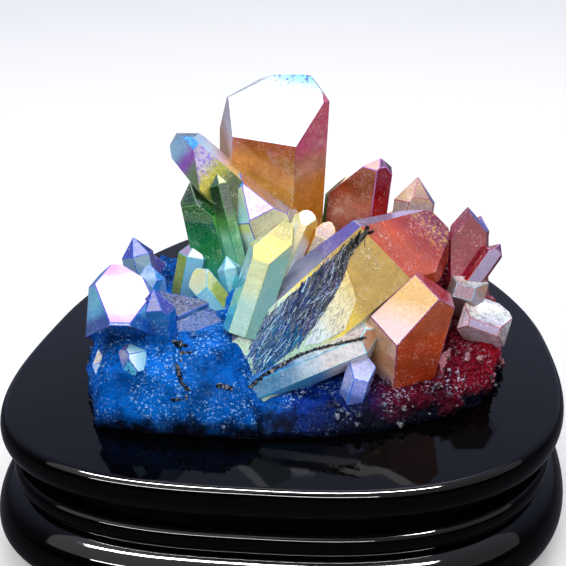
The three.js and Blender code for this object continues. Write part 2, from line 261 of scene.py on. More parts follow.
def crystal(name, shape, finish):
    """One crystal as a convex solid with softened edges. Its own Z runs up its long axis to the tip."""
    planes, turned, seat = planes_of(shape)
    names = facet_names(shape)
    coats = {**{"edge": edge for edge, bodies in EDGES.items() if finish in bodies}, **shape.get("coats", {})}
    bevel = shape.get("bevel", SOFT_EDGE)
    wanted = list(dict.fromkeys(coats.values()))
    bm = bmesh.new()
    for corner in corners_behind(planes):
        bm.verts.new(corner * MM)
    bmesh.ops.convex_hull(bm, input=bm.verts)
    loose = [v for v in bm.verts if not v.link_faces]
    bmesh.ops.delete(bm, geom=loose, context="VERTS")
    bmesh.ops.dissolve_limit(bm, angle_limit=math.radians(1), verts=bm.verts, edges=bm.edges)
    bmesh.ops.recalc_face_normals(bm, faces=bm.faces)
    bmesh.ops.bevel(
        bm, geom=bm.edges[:] + bm.verts[:], offset=bevel * MM, segments=2, profile=0.6,
        affect="EDGES", clamp_overlap=True,
    )
    bmesh.ops.remove_doubles(bm, verts=bm.verts, dist=1e-6)
    for face in bm.faces:
        facet = max(range(len(planes)), key=lambda k: planes[k][0].dot(face.normal))
        on_an_edge = planes[facet][0].dot(face.normal) < ON_A_FACET
        coat = coats.get(names[facet])
        # Faces on a softened edge take the painted shade outline, where there is one.
        if on_an_edge:
            coat = coats.get("edge", coat)
        face.material_index = wanted.index(coat) + 1 if coat else 0
    mesh = mesh_from(bm, name)
    coated = [FINISHES[finish], *(FINISHES[coat] for coat in wanted)]
    seated(new_piece(name, mesh, "quartz_cluster", coated), turned, seat)


AMBER_POINT = {
    "tip": (-7, 14, 70), "lean": 2, "roll": -14, "length": 57,
    "side": (9.3, 12.3, 12.2, 10, 20.6, 11.4), "cap": (5.1, -3.1, -3, -3, 0, -1.6), "bevel": 0.4,
    "chips": ((165, 62, 5.1), (0, 73, 3.4), (88, 58, 4.6)),
    "coats": {
        "r0": "cool_white", "chip0": "cyan_glint", "chip2": "cyan_glint", "m1": "rose_amber", "r1": "magenta",
        "chip1": "magenta", "m5": "rose", "r5": "rose", "edge": "edge_blue",
    },
}
RAINBOW_BLADE = {
    "tip": (35, -8, 38.2), "bevel": 0.2, "lean": 52, "heading": 28, "roll": -16, "length": 74,
    "side": (6, 9, 9, 9, 7.5, 12.2), "cap": (4.4, 0, -3, -3, -3, 0), "narrowing": (6, 0, 0, 0, 10, 4),
    "coats": {
        "r0": "fire", "r1": "fire", "m1": "gold_band", "m5": "violet_strip", "r5": "lilac_glaze",
        "m4": "violet_strip", "r4": "violet_strip", "m2": "fire", "r2": "fire", "edge": "edge_rose",
    },
}
GREEN_STEM = {
    "tip": (-26.6, -3, 43), "bevel": 0.2, "lean": 18, "heading": 150, "roll": -14, "length": 40,
    "side": (4, 6, 4, 4, 4, 3.8), "cap": (0.4, 0.9, 0, 0, 0, 0), "narrowing": (0, 0, 0, 0, 0, 5),
    "coats": {"m1": "pale_green", "r1": "bottle_green", "r0": "bottle_green"},
}
VIOLET_BLADE = {
    "tip": (-34.5, 8, 52.2), "bevel": 0.2, "lean": 52, "heading": 168, "roll": 38, "length": 48,
    "side": (7.2, 3.4, 7, 6, 5, 11.6), "cap": (0.2, 1.9, 0, 0, 0, 1.4),
    "chips": ((186, 34, 3.6),),
    "coats": {
        "r1": "blue_grey", "chip0": "blue_grey", "r0": "blue_flecked", "r5": "violet_rim",
        "m0": "flecked_yellow", "m1": "lilac_gold", "m5": "olive_gold", "edge": "edge_violet",
    },
}
RED_POINT = {
    "tip": (18, 14, 46.5), "bevel": 0.2, "lean": 5, "heading": 33, "roll": -29, "length": 42,
    "side": (4, 5, 5.2, 7, 9, 10.4), "cap": (0, -1.2, 0, 0, 4.2, 0),
    "coats": {
        "m1": "ruby", "r1": "plum", "r2": "plum", "r0": "mauve_grey", "r5": "mauve_grey",
        "edge": "edge_rose",
    },
}
CRIMSON_POINT = {
    "tip": (41.8, 4, 35.2), "lean": 27, "heading": 95, "roll": 10, "length": 35,
    "side": (3.3, 4.7, 4, 4, 4, 6.3), "cap": (-0.8, 0.5, 0, 0, 0, 0.4),
    "coats": {"r1": "violet_strip", "r5": "crimson", "r0": "plum", "edge": "edge_dark"},
}
PEARL_POINT = {
    "tip": (-40, -22, 32), "bevel": 0.2, "lean": 46, "heading": 94, "roll": 7, "length": 20,
    "side": (10, 8, 8, 8, 8, 6), "cap": (4, 0.6, 0, -2, -4.4, 0.2),
    "coats": {
        "r0": "pearly_painted_reflection", "m5": "cyan_blue", "r5": "blue_flecked", "m0": "cyan_blue",
        "m1": "cyan_blue", "foot": "deep_blue", "edge": "edge_violet",
    },
}
BLUE_PILLAR = {
    "tip": (-31.1, -33, 29.1), "lean": 2, "heading": 180, "roll": 6, "length": 34,
    "side": (3.2, 4.1, 3.8, 4, 4.2, 3.8),
    "coats": {"r0": "royal_blue", "r1": "royal_blue", "r5": "royal_blue"},
}
PALE_GEM = {
    "tip": (48, -14, 21), "lean": 57, "heading": 70, "roll": -5, "length": 13,
    "side": (4.3, 5, 5, 5, 5, 5.6), "cap": (3.3, -2, -2, -2, -2, -1),
    "coats": {
        "r0": "streaked_white", "m1": "streaked_white", "foot": "pink_white", "m5": "pink_white",
        "m0": "lilac_glaze", "edge": "edge_dark",
    },
}
ORANGE_BLOCK = {
    "middle": (28.6, -30, 15), "bevel": 0.2,
    "flats": (
        (-114, 38, 7), (-62, -1, 2.5), (-135, -1, 6.8), (-1, -10, 6.7),
        (14, 51, 12.8), (150, 35, 11.8), (100, 0, 9), (0, -90, 16),
    ),
    "coats": {
        "flat0": "peach_glaze", "flat2": "peach", "flat4": "ruby", "flat5": "plum", "edge": "edge_dark",
    },
}
STEPS_MIDDLE = (-22.5, -27, 11)
STEPPED_BLOCK = (
    {
        "middle": STEPS_MIDDLE,
        "flats": (
            (-60, 68, 5), (-100, 8, 9.5), (188, -15, 7.6), (0, 5, 8),
            (-40, 10, 9), (-150, 8, 9), (90, 0, 3.5), (0, -90, 11),
        ),
        "coats": {"flat0": "cyan_step"},
    },
    {
        "middle": STEPS_MIDDLE,
        "flats": (
            (-60, 68, 6.6), (-52, 10, 4), (188, -24, 7.4), (-130, 12, 8.4),
            (90, 0, 3.5), (30, 0, 6.5), (0, -90, 11),
        ),
        "coats": {"flat0": "slate_step", "flat1": "cyan_step"},
    },
    {
        "middle": STEPS_MIDDLE,
        "flats": (
            (-60, 68, 7.4), (-50, 14, 0.6), (188, -24, 7.4), (-132, 14, 6),
            (90, 0, 4.5), (35, 0, 6.8), (0, -90, 11),
        ),
        "coats": {"flat0": "bronze_step"},
    },
)

# The smaller points crowded between the tall ones: name, finish, shape.
SMALL_CRYSTALS = (
    ("pale_back_gem", "peach", {
        "tip": (29.5, 14, 38), "lean": 19, "heading": 74, "roll": 20, "length": 32,
        "side": (4, 5, 5, 5, 5, 5),
        "coats": {"r5": "peach", "r0": "gold", "r1": "violet_strip", "m0": "peach", "m5": "peach"},
    }),
    ("white_ledge", "white_gold", {
        "tip": (44, -4, 23), "lean": 65, "heading": 72, "roll": -14, "side": 4, "cap": (3, 0, 0, 0, 0, 0),
        "length": 14,
        "coats": {"r0": "streaked_white", "m1": "mauve_grey", "m0": "plum", "foot": "peach", "m5": "peach"},
    }),
    ("small_crimson_point", "crimson", {
        "tip": (49.6, -4, 28.8), "lean": 44, "heading": 38, "side": (1.6, 2, 2, 2, 2, 2.4), "length": 14,
        "coats": {"r0": "plum", "r1": "plum", "m0": "lilac_glaze"},
    }),
    ("rear_crimson_point", "crimson", {
        "tip": (45.6, 8, 30.5), "lean": 32, "heading": 73, "roll": 20,
        "coats": {"r0": "violet_strip", "r1": "violet_strip"},
    }),
    ("dark_green_point", "dark_green", {
        "tip": (-20, -5, 45.6), "lean": 22, "heading": 130, "roll": -20, "length": 36,
        "side": (2.2, 2, 2.2, 2.2, 2.2, 2.6),
        "coats": {"r1": "olive_gold", "m1": "dark_green"},
    }),
    ("white_faced_gem", "sea_green", {
        "tip": (-17.8, 2, 44), "lean": 20, "heading": 170, "roll": 32, "length": 26,
        "side": (10.9, 10.8, 3.5, 2, 5, 8.9), "cap": (-1.9, 0, 0, 0, 0, 0), "chips": ((200, 50, 3),),
        "coats": {
            "r0": "pink_white", "r5": "sage_white", "m0": "pale_olive", "r1": "mauve_grey", "m5": "pale_sea",
            "chip0": "blue_flecked", "m1": "warm_white", "r4": "olive_gold", "edge": "edge_violet",
        },
    }),
    ("olive_gem", "olive_gold", {
        "tip": (-2, 3, 38), "lean": 30, "heading": 50, "roll": 12, "length": 36,
        "side": (5, 5, 6, 6, 6, 6.5), "cap": (4, 0, 0, 0, 0, 1),
        "coats": {"r0": "gold"},
    }),
    ("yellow_gem", "lemon", {
        "tip": (-3.1, -17, 40.4), "lean": 33, "heading": 60, "roll": -13, "length": 29,
        "side": (5.3, 4.1, 4, 4, 5, 4.8), "cap": (2.8, 0.2, -2, -2, -2, 1.5),
        "coats": {"r0": "sun_yellow", "r5": "pale_olive", "m5": "cyan_teal", "m1": "sage_white"},
    }),
    ("cream_gem", "cream", {
        "tip": (3, -2, 36.5), "lean": 50, "heading": 65, "length": 32,
        "side": (3.3, 2.4, 3, 3, 3, 2.4), "cap": (1.5, 0.2, 0, 0, 0, 0.3),
        "coats": {"r0": "warm_white", "m5": "pale_gold", "m1": "cream_side"},
    }),
    ("orange_gem", "orange", {
        "tip": (8, -4, 34), "lean": 37, "heading": 54, "roll": -10, "cap": (1, 0, 0, 0, 0, 0), "length": 26,
        "coats": {"r0": "gold", "m0": "gold"},
    }),
    ("cyan_wedge", "cyan", {
        "tip": (-17, -14, 28), "lean": 30, "heading": 120, "roll": 15, "side": 2.6, "length": 18,
        "coats": {"m5": "cyan"},
    }),
    ("royal_blue_point", "royal_blue", {
        "tip": (-41.5, -6, 28), "lean": 23, "heading": 127, "roll": 30, "side": 3.6,
        "coats": {"r0": "royal_blue", "m1": "lilac_glaze", "m0": "blue_grey", "m5": "blue_grey"},
    }),
    ("lilac_point", "ice_blue", {
        "tip": (-25, -6, 28.5), "lean": 20, "heading": 58, "roll": 10, "side": 3.6,
        "coats": {"r0": "warm_white", "r5": "lilac_glaze", "m5": "lemon"},
    }),
    ("white_gold_sliver", "white_gold", {
        "tip": (-26, -16, 26), "lean": 50, "heading": 149, "roll": -10, "side": 3.2,
        "cap": (2, 0, 0, 0, 0, 0),
        "coats": {"m1": "lemon", "r0": "sage_white", "m0": "ice_blue"},
    }),
    ("blue_point", "deep_blue", {
        "tip": (-36, -16, 26.5), "lean": 27, "heading": 110, "roll": -10, "side": 3.6,
        "cap": (1, 0, 0, 0, 0, 0),
        "coats": {"r0": "blue_grey"},
    }),
    ("left_front_point", "sky_blue", {
        "tip": (-45, -34, 13), "lean": 45, "heading": 124, "length": 14,
        "coats": {"r0": "streaked_white"},
    }),
    ("lavender_front_point", "deep_blue", {
        "tip": (-36.3, -44.6, 18.6), "lean": 39, "heading": -97, "roll": -24, "length": 16,
        "side": (2.6, 4, 4, 4, 4, 6.3), "cap": (0.7, -1.9, 0, 0, 0, 1.4),
        "coats": {
            "r0": "cool_white", "r5": "lavender", "r4": "lilac_glaze", "r2": "ice_blue", "r3": "ice_blue",
        },
    }),
    ("red_facet_point", "ruby", {
        "tip": (39, -24, 12.5), "lean": 23, "heading": 71,
        "side": (3, 4, 4, 4, 4, 4), "cap": (2, 0, 0, 0, 0, 0),
    }),
    ("pale_plate", "plate", {
        "tip": (21.5, -28, 18), "lean": 71, "heading": 17, "roll": -10, "side": (5, 5, 5, 5, 4, 3.4),
        "length": 42,
        "coats": {"m5": "streaked_blue", "r5": "streaked_white", "r0": "mauve_grey", "m1": "sky_glaze"},
    }),
    ("lavender_point", "lavender", {
        "tip": (17.5, -33, 15.5), "lean": 29, "heading": 61, "roll": 10, "cap": (2, 0, 0, 0, 0, 0),
        "coats": {"r0": "lavender"},
    }),
    ("back_left_point", "deep_blue", {
        "tip": (-38, 22, 6), "lean": 75, "heading": 140, "roll": 10, "side": 4,
    }),
    ("back_teal_point", "sea_green", {
        "tip": (-21, 30, 25), "lean": 30, "heading": 108, "roll": 24, "side": 5.5, "cap": (0, 0, 2, 0, 0, 0),
        "length": 34,
    }),
    ("back_green_point", "leaf_green", {
        "tip": (-3, 37, 27), "lean": 42, "heading": 92, "roll": 5, "side": 5, "length": 28,
    }),
    ("back_gold_point", "olive_gold", {
        "tip": (12, 30, 32), "lean": 26, "heading": 80, "roll": -12, "side": 5.5, "cap": (0, 0, 0, 2, 0, 0),
        "length": 34,
    }),
    ("back_orange_point", "orange", {
        "tip": (27, 30, 22), "lean": 44, "heading": 62, "roll": 18, "side": 4.6, "length": 26,
    }),
    ("back_crimson_point", "crimson", {
        "tip": (42, 18, 19), "lean": 46, "heading": 40, "roll": 8, "side": 4.2, "length": 24,
    }),
    ("left_blue_point", "royal_blue", {
        "tip": (-47, 8, 15), "lean": 56, "heading": 165, "roll": 14, "side": 4,
    }),
    ("tall_back_point", "olive_gold", {
        "tip": (-2, 26, 44), "lean": 12, "heading": 100, "roll": 12, "side": 5.4, "length": 42,
    }),
)


# ---------------------------------------------------------------- druzy matrix

# The matrix grew in four masses: their corners on the stand, and their heights.
MASSES = (
    (16, ((-44, -47), (-30, -49), (-6, -49), (-2, -30), (-10, 4), (-50, 6), (-52.5, -14), (-48.5, -36))),
    (6, ((-14, -49), (10, -47), (22, -44), (39, -37), (44, -18), (10, -2), (-14, -10))),
    (11, ((36, -38), (49, -26), (52, -18), (50, 8), (34, 12), (30, -12))),
    (11, ((-50, 4), (-40, 22), (-22, 32), (0, 35), (22, 31), (40, 22), (50, 4), (20, -14), (-20, -14))),
)
LUMPS = (
    ((-40, -34, 6), (9, 11, 9)), ((-24, -37, 6), (11, 9, 9)), ((-12, -37, 4), (10, 10, 9)),
    ((-12, -18, 9), (13, 14, 15)), ((46, -19, 5), (6, 10, 10)), ((41, -28, 3), (8, 8, 9)),
    ((34, -32, 2), (9, 8, 6)), ((-42, -14, 8), (10, 15, 11)), ((-24, 0, 8), (16, 20, 13)),
    ((-2, 2, 10), (20, 22, 16)), ((22, 6, 10), (20, 18, 15)), ((40, 2, 7), (12, 15, 11)),
    ((-8, 20, 9), (24, 14, 15)), ((24, 18, 8), (18, 12, 13)), ((-34, 14, 4), (13, 13, 8)),
)
LUMP_CORNERS = 22
FINE = unless_quick(0.54)


def dice(seed):
    """The same run of numbers from 0 to 1 that the plain solids use."""
    state = seed

    def roll():
        nonlocal state
        state = (state * 1664525 + 1013904223) % 4294967296
        return state / 4294967296
    return roll


def mass_corners(height, corners, seed):
    """Three uneven rings of corners, from a mass's foot to its top."""
    roll = dice(seed)
    middle = [sum(corner[axis] for corner in corners) / len(corners) for axis in (0, 1)]
    points = []
    for rise, inset in ((0, 0), (0.3, 0.02), (1, 0.3)):
        for x, y in corners:
            wobble = 2 * roll() - 1 if rise > 0 else 0
            keep = 1 - inset * (1 + 0.6 * wobble)
            points.append(Vector((
                middle[0] + (x - middle[0]) * keep,
                middle[1] + (y - middle[1]) * keep,
                rise * height * (1 + 0.2 * wobble),
            )))
    return points


def lump_corners(middle, radii, seed):
    """Corners scattered over an egg round a lump's middle."""
    roll = dice(seed)
    points = []
    for _ in range(LUMP_CORNERS):
        heading = 360 * roll()
        rise = math.degrees(math.asin(2 * roll() - 1))
        points.append(direction(heading, rise) * Vector(radii) + Vector(middle))
    return points


def add_hull(bm, points):
    made = bmesh.ops.convex_hull(bm, input=[bm.verts.new(p) for p in points])
    spare = [v for v in made["geom_interior"] if isinstance(v, bmesh.types.BMVert)]
    bmesh.ops.delete(bm, geom=spare, context="VERTS")


def applied(piece):
    """The piece's mesh with its modifiers made real."""
    graph = bpy.context.evaluated_depsgraph_get()
    mesh = bpy.data.meshes.new_from_object(piece.evaluated_get(graph))
    piece.modifiers.clear()
    piece.data = mesh
    return mesh


def craggy(place):
    """How far the skin of the matrix stands out at a place in millimetres: waves, crags, then grains."""
    ends = max((place.x - 22) / 14, (-43 - place.x) / 4, (place.y + 20) / 12)
    broken = min(max(ends, 0.0), 1.0)
    waves = noise.noise(place * 0.16)
    crags = noise.multi_fractal(place * 0.11, 0.8, 2.1, 4, noise_basis="VORONOI_F2F1")
    grains = noise.noise(place * 0.9, noise_basis="VORONOI_F1")
    return 0.5 * waves + (0.12 + 0.8 * broken) * (crags - 0.8) + (0.1 + 0.45 * broken) * (grains - 0.4)


def druzy_matrix(finish):
    """The lumpy mass that the crystals grew from, with a broken, granular skin and a flat foot."""
    bm = bmesh.new()
    for i, (height, corners) in enumerate(MASSES):
        add_hull(bm, mass_corners(height, corners, 11 + i))
    for i, (middle, radii) in enumerate(LUMPS):
        add_hull(bm, lump_corners(middle, radii, 41 + i))
    mesh = mesh_from(bm, "druzy_matrix")
    piece = new_piece("druzy_matrix", mesh, "quartz_cluster", finish)
    remesh = piece.modifiers.new("one_skin", "REMESH")
    remesh.mode = "VOXEL"
    remesh.voxel_size = FINE
    mesh = applied(piece)
    lift = Vector((SHIFT, 0, STAND_HEIGHT))
    outward = [(vert.co.copy(), vert.normal.copy()) for vert in mesh.vertices]
    for vert, (where, normal) in zip(mesh.vertices, outward):
        moved = where + normal * craggy(where)
        moved.z = max(moved.z, ABOVE_LACQUER)
        vert.co = (moved + lift) * MM
    mesh.update()
    return piece


# ---------------------------------------------------------------- druse, broken face and cracks

# In metres over the lacquer: the matrix's bare foot, then a tiny point's least reach and its lowest corner.
BARE_FOOT = 0.0006
LEAST_RISE = 0.0002
LOWEST_CORNER = 0.00005
# The wall lies to the left of this X and in front of this Y, in metres.
FRONT_LEFT_WALL = (0.01, -0.004)
LEAN_SPREAD = 0.35
# In millimetres: how deep inside a crystal nothing grows. Then how far the ground of a broken face stands
# proud of the crystal's side and sinks into it, and how deep the splinters are rooted.
DEEP_INSIDE = 0.2
GROUND_PROUD, GROUND_SUNK = 0.04, 0.4
SPLINTER_ROOT = 0.5


def inside_a_crystal(place, shapes):
    """True if a place in millimetres over the stand's top lies inside one of the crystals."""
    for planes, turned, seat in shapes:
        local = turned.inverted() @ (place - seat)
        if all(normal.dot(local) < distance - DEEP_INSIDE for normal, distance in planes):
            return True
    return False


def little_point(bm, place, outward, width, height, chance):
    """A tiny quartz point: six sides and a blunt, slightly crooked tip."""
    turned = outward.to_track_quat("Z", "Y") @ Quaternion((0, 0, 1), chance.random() * math.tau)
    foot, neck = [], []
    for i in range(SIDES):
        angle = math.tau * i / SIDES
        ring = Vector((math.cos(angle), math.sin(angle), 0)) * width * (0.85 + 0.3 * chance.random())
        foot.append(bm.verts.new(place + turned @ (ring - Vector((0, 0, 0.5 * height)))))
        neck_height = height * (0.45 + 0.2 * chance.random())
        neck.append(bm.verts.new(place + turned @ (ring + Vector((0, 0, neck_height)))))
    tip = bm.verts.new(place + turned @ Vector((0.2 * width, 0.1 * width, height)))
    for i in range(SIDES):
        j = (i + 1) % SIDES
        bm.faces.new((foot[i], foot[j], neck[j], neck[i]))
        bm.faces.new((neck[i], neck[j], tip))
    bm.faces.new(list(reversed(foot)))


def druse(name, matrix, shapes, finish, wanted, seed, sizes, front=1.0):
    """Thousands of tiny quartz points grown on the skin of the matrix, clear of the big crystals.

    The smooth wall at the front left has only a share of them.
    """
    chance = random.Random(seed)
    mesh = matrix.data
    lift = Vector((SHIFT, 0, STAND_HEIGHT)) * MM
    faces = [face for face in mesh.polygons if face.center.z > lift.z + BARE_FOOT]
    areas = []
    for face in faces:
        on_the_wall = face.center.x < FRONT_LEFT_WALL[0] and face.center.y < FRONT_LEFT_WALL[1]
        areas.append(face.area * (front if on_the_wall else 1.0))
    bm = bmesh.new()
    for face in chance.choices(faces, weights=areas, k=wanted):
        place = face.center.copy()
        if inside_a_crystal((place - lift) / MM, shapes):
            continue
        small, large = sizes
        width = (small + (large - small) * chance.random() ** 3) * MM
        lean = Vector([chance.gauss(0, LEAN_SPREAD) for _ in range(3)])
        outward = (face.normal + lean).normalized()
        height = width * (0.9 + 1.6 * chance.random())
        if place.z + outward.z * height < lift.z + LEAST_RISE:
            continue
        little_point(bm, place, outward, width, height, chance)
    for vert in bm.verts:
        vert.co.z = max(vert.co.z, lift.z + LOWEST_CORNER)
    return new_piece(name, mesh_from(bm, name), "quartz_cluster", finish)


def inside_outline(x, z, outline):
    """True if a place on a facet lies inside a closed outline."""
    inside = False
    for (xa, za), (xb, zb) in zip(outline, outline[1:] + outline[:1]):
        if (za > z) != (zb > z) and x < (xb - xa) * (z - za) / (zb - za) + xa:
            inside = not inside
    return inside


def splinters(name, shape, outline, run, sizes, bands, wanted, seed):
    """A broken face: long splinters that stand a little out of a crystal's front side, all running one way.

    The outline is in millimetres across the side and up the crystal.
    Each band of coats reaches down to a height.
    """
    chance = random.Random(seed)
    planes, turned, seat = planes_of(shape)
    facing, distance = planes[0]
    coats = list(dict.fromkeys(coat for _, group in bands for coat in group))
    xs, zs = [p[0] for p in outline], [p[1] for p in outline]

    def on_the_side(x, z):
        return Vector((x, (facing.z * z - distance) / -facing.y, z))

    bm = bmesh.new()
    bm.faces.new([bm.verts.new((on_the_side(x, z) + facing * GROUND_PROUD) * MM) for x, z in outline])
    raised = bmesh.ops.extrude_face_region(bm, geom=bm.faces[:])["geom"]
    sunk = [v for v in raised if isinstance(v, bmesh.types.BMVert)]
    bmesh.ops.translate(bm, vec=-facing * GROUND_SUNK * MM, verts=sunk)
    made = 0
    while made < wanted:
        x, z = chance.uniform(min(xs), max(xs)), chance.uniform(min(zs), max(zs))
        if not inside_outline(x, z, outline):
            continue
        made += 1
        low, high = sizes
        length = low + (high - low) * chance.random() ** 1.6
        width = length * chance.uniform(0.09, 0.24)
        height = min(0.3, width) * chance.uniform(0.5, 1.1)
        spot = on_the_side(x, z)
        along = Quaternion(facing, math.radians(run + chance.gauss(0, 13))) @ Vector((1, 0, 0))
        along = (along - facing * along.dot(facing)).normalized()
        side = facing.cross(along)
        ridge = chance.uniform(-0.4, 0.4) * width
        corners = []
        for a, b in ((-0.5, -0.5), (-0.5, 0.5), (0.5, 0.5), (0.5, -0.5)):
            corners.append(spot + along * length * a + side * width * b - facing * SPLINTER_ROOT)
        for a in (-0.42, 0.42):
            crest = facing * height * chance.uniform(0.3, 1)
            corners.append(spot + along * length * a + side * ridge + crest)
        v = [bm.verts.new(corner * MM) for corner in corners]
        group = next((coats_here for floor_z, coats_here in bands if z > floor_z), bands[-1][1])
        number = coats.index(chance.choice(group))
        for ring in ((v[0], v[1], v[2], v[3]), (v[0], v[3], v[5], v[4]), (v[1], v[4], v[5], v[2]),
                     (v[0], v[4], v[1]), (v[3], v[2], v[5])):
            bm.faces.new(ring).material_index = number
    bmesh.ops.recalc_face_normals(bm, faces=bm.faces)
    mesh = mesh_from(bm, name)
    piece = new_piece(name, mesh, "quartz_cluster", [FINISHES[coat] for coat in coats])
    seated(piece, turned, seat)


def cracks(name, paths, finish, seed):
    """Ragged dark cracks: crooked crumbs along paths given in millimetres over the stand's top."""
    chance = random.Random(seed)
    bm = bmesh.new()
    for width, path in paths:
        for start, end in zip(path, path[1:]):
            start, end = Vector(start), Vector(end)
            steps = max(1, round((end - start).length / (0.5 * width)))
            for i in range(steps):
                middle = start.lerp(end, (i + chance.random()) / steps)
                reach = width * chance.uniform(0.6, 1.15)
                ways = [Vector([chance.gauss(0, 1) for _ in range(3)]).normalized() for _ in range(9)]
                add_hull(bm, [middle + way * reach for way in ways])
    for vert in bm.verts:
        vert.co = (vert.co + Vector((SHIFT, 0, STAND_HEIGHT))) * MM
    bmesh.ops.recalc_face_normals(bm, faces=bm.faces)
    mesh = mesh_from(bm, name)
    new_piece(name, mesh, "quartz_cluster", FINISHES[finish])


# ---------------------------------------------------------------- finishes

WHITE = (1, 1, 1, 1)
QUARTZ_IOR = 1.54
FILM_IOR = 1.7
LACQUER_IOR = 1.27
HAZE_DENSITY = 30.0
# Growth lines and pits: their depth in metres, and how strongly they show.
MARK_DEPTH = 0.0003
MARK_STRENGTH = 0.3


def feed(tree, socket, value):
    if isinstance(value, bpy.types.NodeSocket):
        tree.links.new(value, socket)
    else:
        socket.default_value = value


def wired(tree, kind, settings=None, **inputs):
    """Adds a shader node. An input is a value, or another node's output socket."""
    node = tree.nodes.new(kind)
    for name, value in (settings or {}).items():
        setattr(node, name, value)
    for name, value in inputs.items():
        name = name.replace("_", " ")
        socket = node.inputs[int(name[1:])] if name[0] == "i" and name[1:].isdigit() else node.inputs[name]
        feed(tree, socket, value)
    return node


def sums(tree, operation, *values):
    """One step of arithmetic."""
    node = tree.nodes.new("ShaderNodeMath")
    node.operation = operation
    for socket, value in zip(node.inputs, values):
        feed(tree, socket, value)
    return node.outputs[0]


def plus(tree, *values):
    total = values[0]
    for value in values[1:]:
        total = sums(tree, "ADD", total, value)
    return total


def times(tree, *values):
    product = values[0]
    for value in values[1:]:
        product = sums(tree, "MULTIPLY", product, value)
    return product


def blended(tree, share, below, above, kind="MIX"):
    """Two colours laid over each other."""
    node = tree.nodes.new("ShaderNodeMix")
    node.data_type = "RGBA"
    node.blend_type = kind
    share_in, below_in, above_in = (node.inputs[k] for k in (0, 6, 7))
    for socket, value in ((share_in, share), (below_in, below), (above_in, above)):
        feed(tree, socket, value)
    return node.outputs[2]


def ramp(tree, value, *stops, smooth=True):
    """Colours along a scale: (place, colour) stops."""
    node = tree.nodes.new("ShaderNodeValToRGB")
    node.color_ramp.interpolation = "EASE" if smooth else "LINEAR"
    elements = node.color_ramp.elements
    while len(elements) < len(stops):
        elements.new(0.5)
    for element, (place, colour) in zip(elements, stops):
        element.position = place
        element.color = colour if isinstance(colour, tuple) else (colour, colour, colour, 1)
    tree.links.new(value, node.inputs[0])
    return node.outputs[0]


def effect(name, inputs, outputs):
    """An empty shader effect with named inputs and outputs, ready to be wired."""
    kinds = {"number": "NodeSocketFloat", "colour": "NodeSocketColor", "vector": "NodeSocketVector"}
    tree = bpy.data.node_groups.new(name, "ShaderNodeTree")
    for socket_name, kind, value in inputs:
        socket = tree.interface.new_socket(socket_name, in_out="INPUT", socket_type=kinds[kind])
        socket.default_value = value
    for socket_name, kind in outputs:
        tree.interface.new_socket(socket_name, in_out="OUTPUT", socket_type=kinds[kind])
    return tree, tree.nodes.new("NodeGroupInput").outputs, tree.nodes.new("NodeGroupOutput").inputs


def used(tree, group, **inputs):
    return wired(tree, "ShaderNodeGroup", {"node_tree": group}, **inputs).outputs


def speckle(tree, vector, scale, detail=2.0, roughness=0.5):
    return wired(
        tree, "ShaderNodeTexNoise", Vector=vector, Scale=scale, Detail=detail, Roughness=roughness,
    ).outputs[0]


def eased(tree, value, low, high):
    """0 below low, 1 above high, with a soft turn between."""
    settings = {"interpolation_type": "SMOOTHSTEP"}
    return wired(tree, "ShaderNodeMapRange", settings, Value=value, i1=low, i2=high).outputs[0]


def wander(tree, noise_value, reach):
    """A noise's swing either way of its middle."""
    return times(tree, sums(tree, "SUBTRACT", noise_value, 0.5), reach)


def along_the_crystal():
    """Three colours down a crystal from its start, with veils, painted glints, and flecks near the tip."""
    tree, given, put = effect(
        "Colour down the crystal",
        [("Tip", "colour", WHITE), ("Middle", "colour", WHITE), ("Foot", "colour", WHITE),
         ("Start", "number", 0.0), ("Reach", "number", 0.03), ("Drift", "number", 0.3),
         ("Mottle", "number", 0.25), ("Veil", "number", 0.0), ("Fleck", "colour", WHITE),
         ("Flecks", "number", 0.0), ("Glints", "number", 0.4)],
        [("Colour", "colour")],
    )
    place = wired(tree, "ShaderNodeTexCoord").outputs["Object"]
    up = wired(tree, "ShaderNodeSeparateXYZ", Vector=place).outputs["Z"]
    down = sums(tree, "DIVIDE", sums(tree, "SUBTRACT", given["Start"], up), given["Reach"])
    down = plus(tree, down, wander(tree, speckle(tree, place, 90.0), given["Drift"]))
    colour = blended(tree, eased(tree, down, 0.0, 0.5), given["Tip"], given["Middle"])
    colour = blended(tree, eased(tree, down, 0.45, 1.0), colour, given["Foot"])
    cloud = ramp(tree, speckle(tree, place, 260.0, 6.0, 0.62), (0.3, 0.3), (0.7, 1.0))
    colour = blended(tree, given["Mottle"], colour, cloud, "MULTIPLY")
    grain = ramp(tree, speckle(tree, place, 1300.0, 4.0, 0.75), (0.38, 0.55), (0.56, 1.0))
    colour = blended(tree, times(tree, given["Mottle"], 1.5), colour, grain, "MULTIPLY")
    veil = ramp(tree, speckle(tree, place, 170.0, 8.0, 0.68), (0.52, 0.0), (0.72, 1.0))
    colour = blended(tree, times(tree, veil, given["Veil"]), colour, rgb(250, 236, 226))
    # Painted glints: fine near-white specks, strewn in patches, that stand in for sparkles of light.
    painted_glints = ramp(tree, speckle(tree, place, 1900.0, 4.0, 0.8), (0.56, 0.0), (0.62, 1.0), smooth=False)
    strewn = ramp(tree, speckle(tree, place, 220.0, 3.0), (0.42, 0.1), (0.6, 1.0))
    colour = blended(tree, times(tree, painted_glints, strewn, given["Glints"]), colour, rgb(255, 250, 236))
    spots = ramp(tree, speckle(tree, place, 1100.0, 5.0, 0.6), (0.52, 0.0), (0.58, 1.0), smooth=False)
    near = wired(tree, "ShaderNodeMapRange", Value=down, i1=0.55, i2=0.1)
    amount = times(tree, spots, near.outputs[0], given["Flecks"])
    tree.links.new(blended(tree, amount, colour, given["Fleck"]), put["Colour"])
    return tree


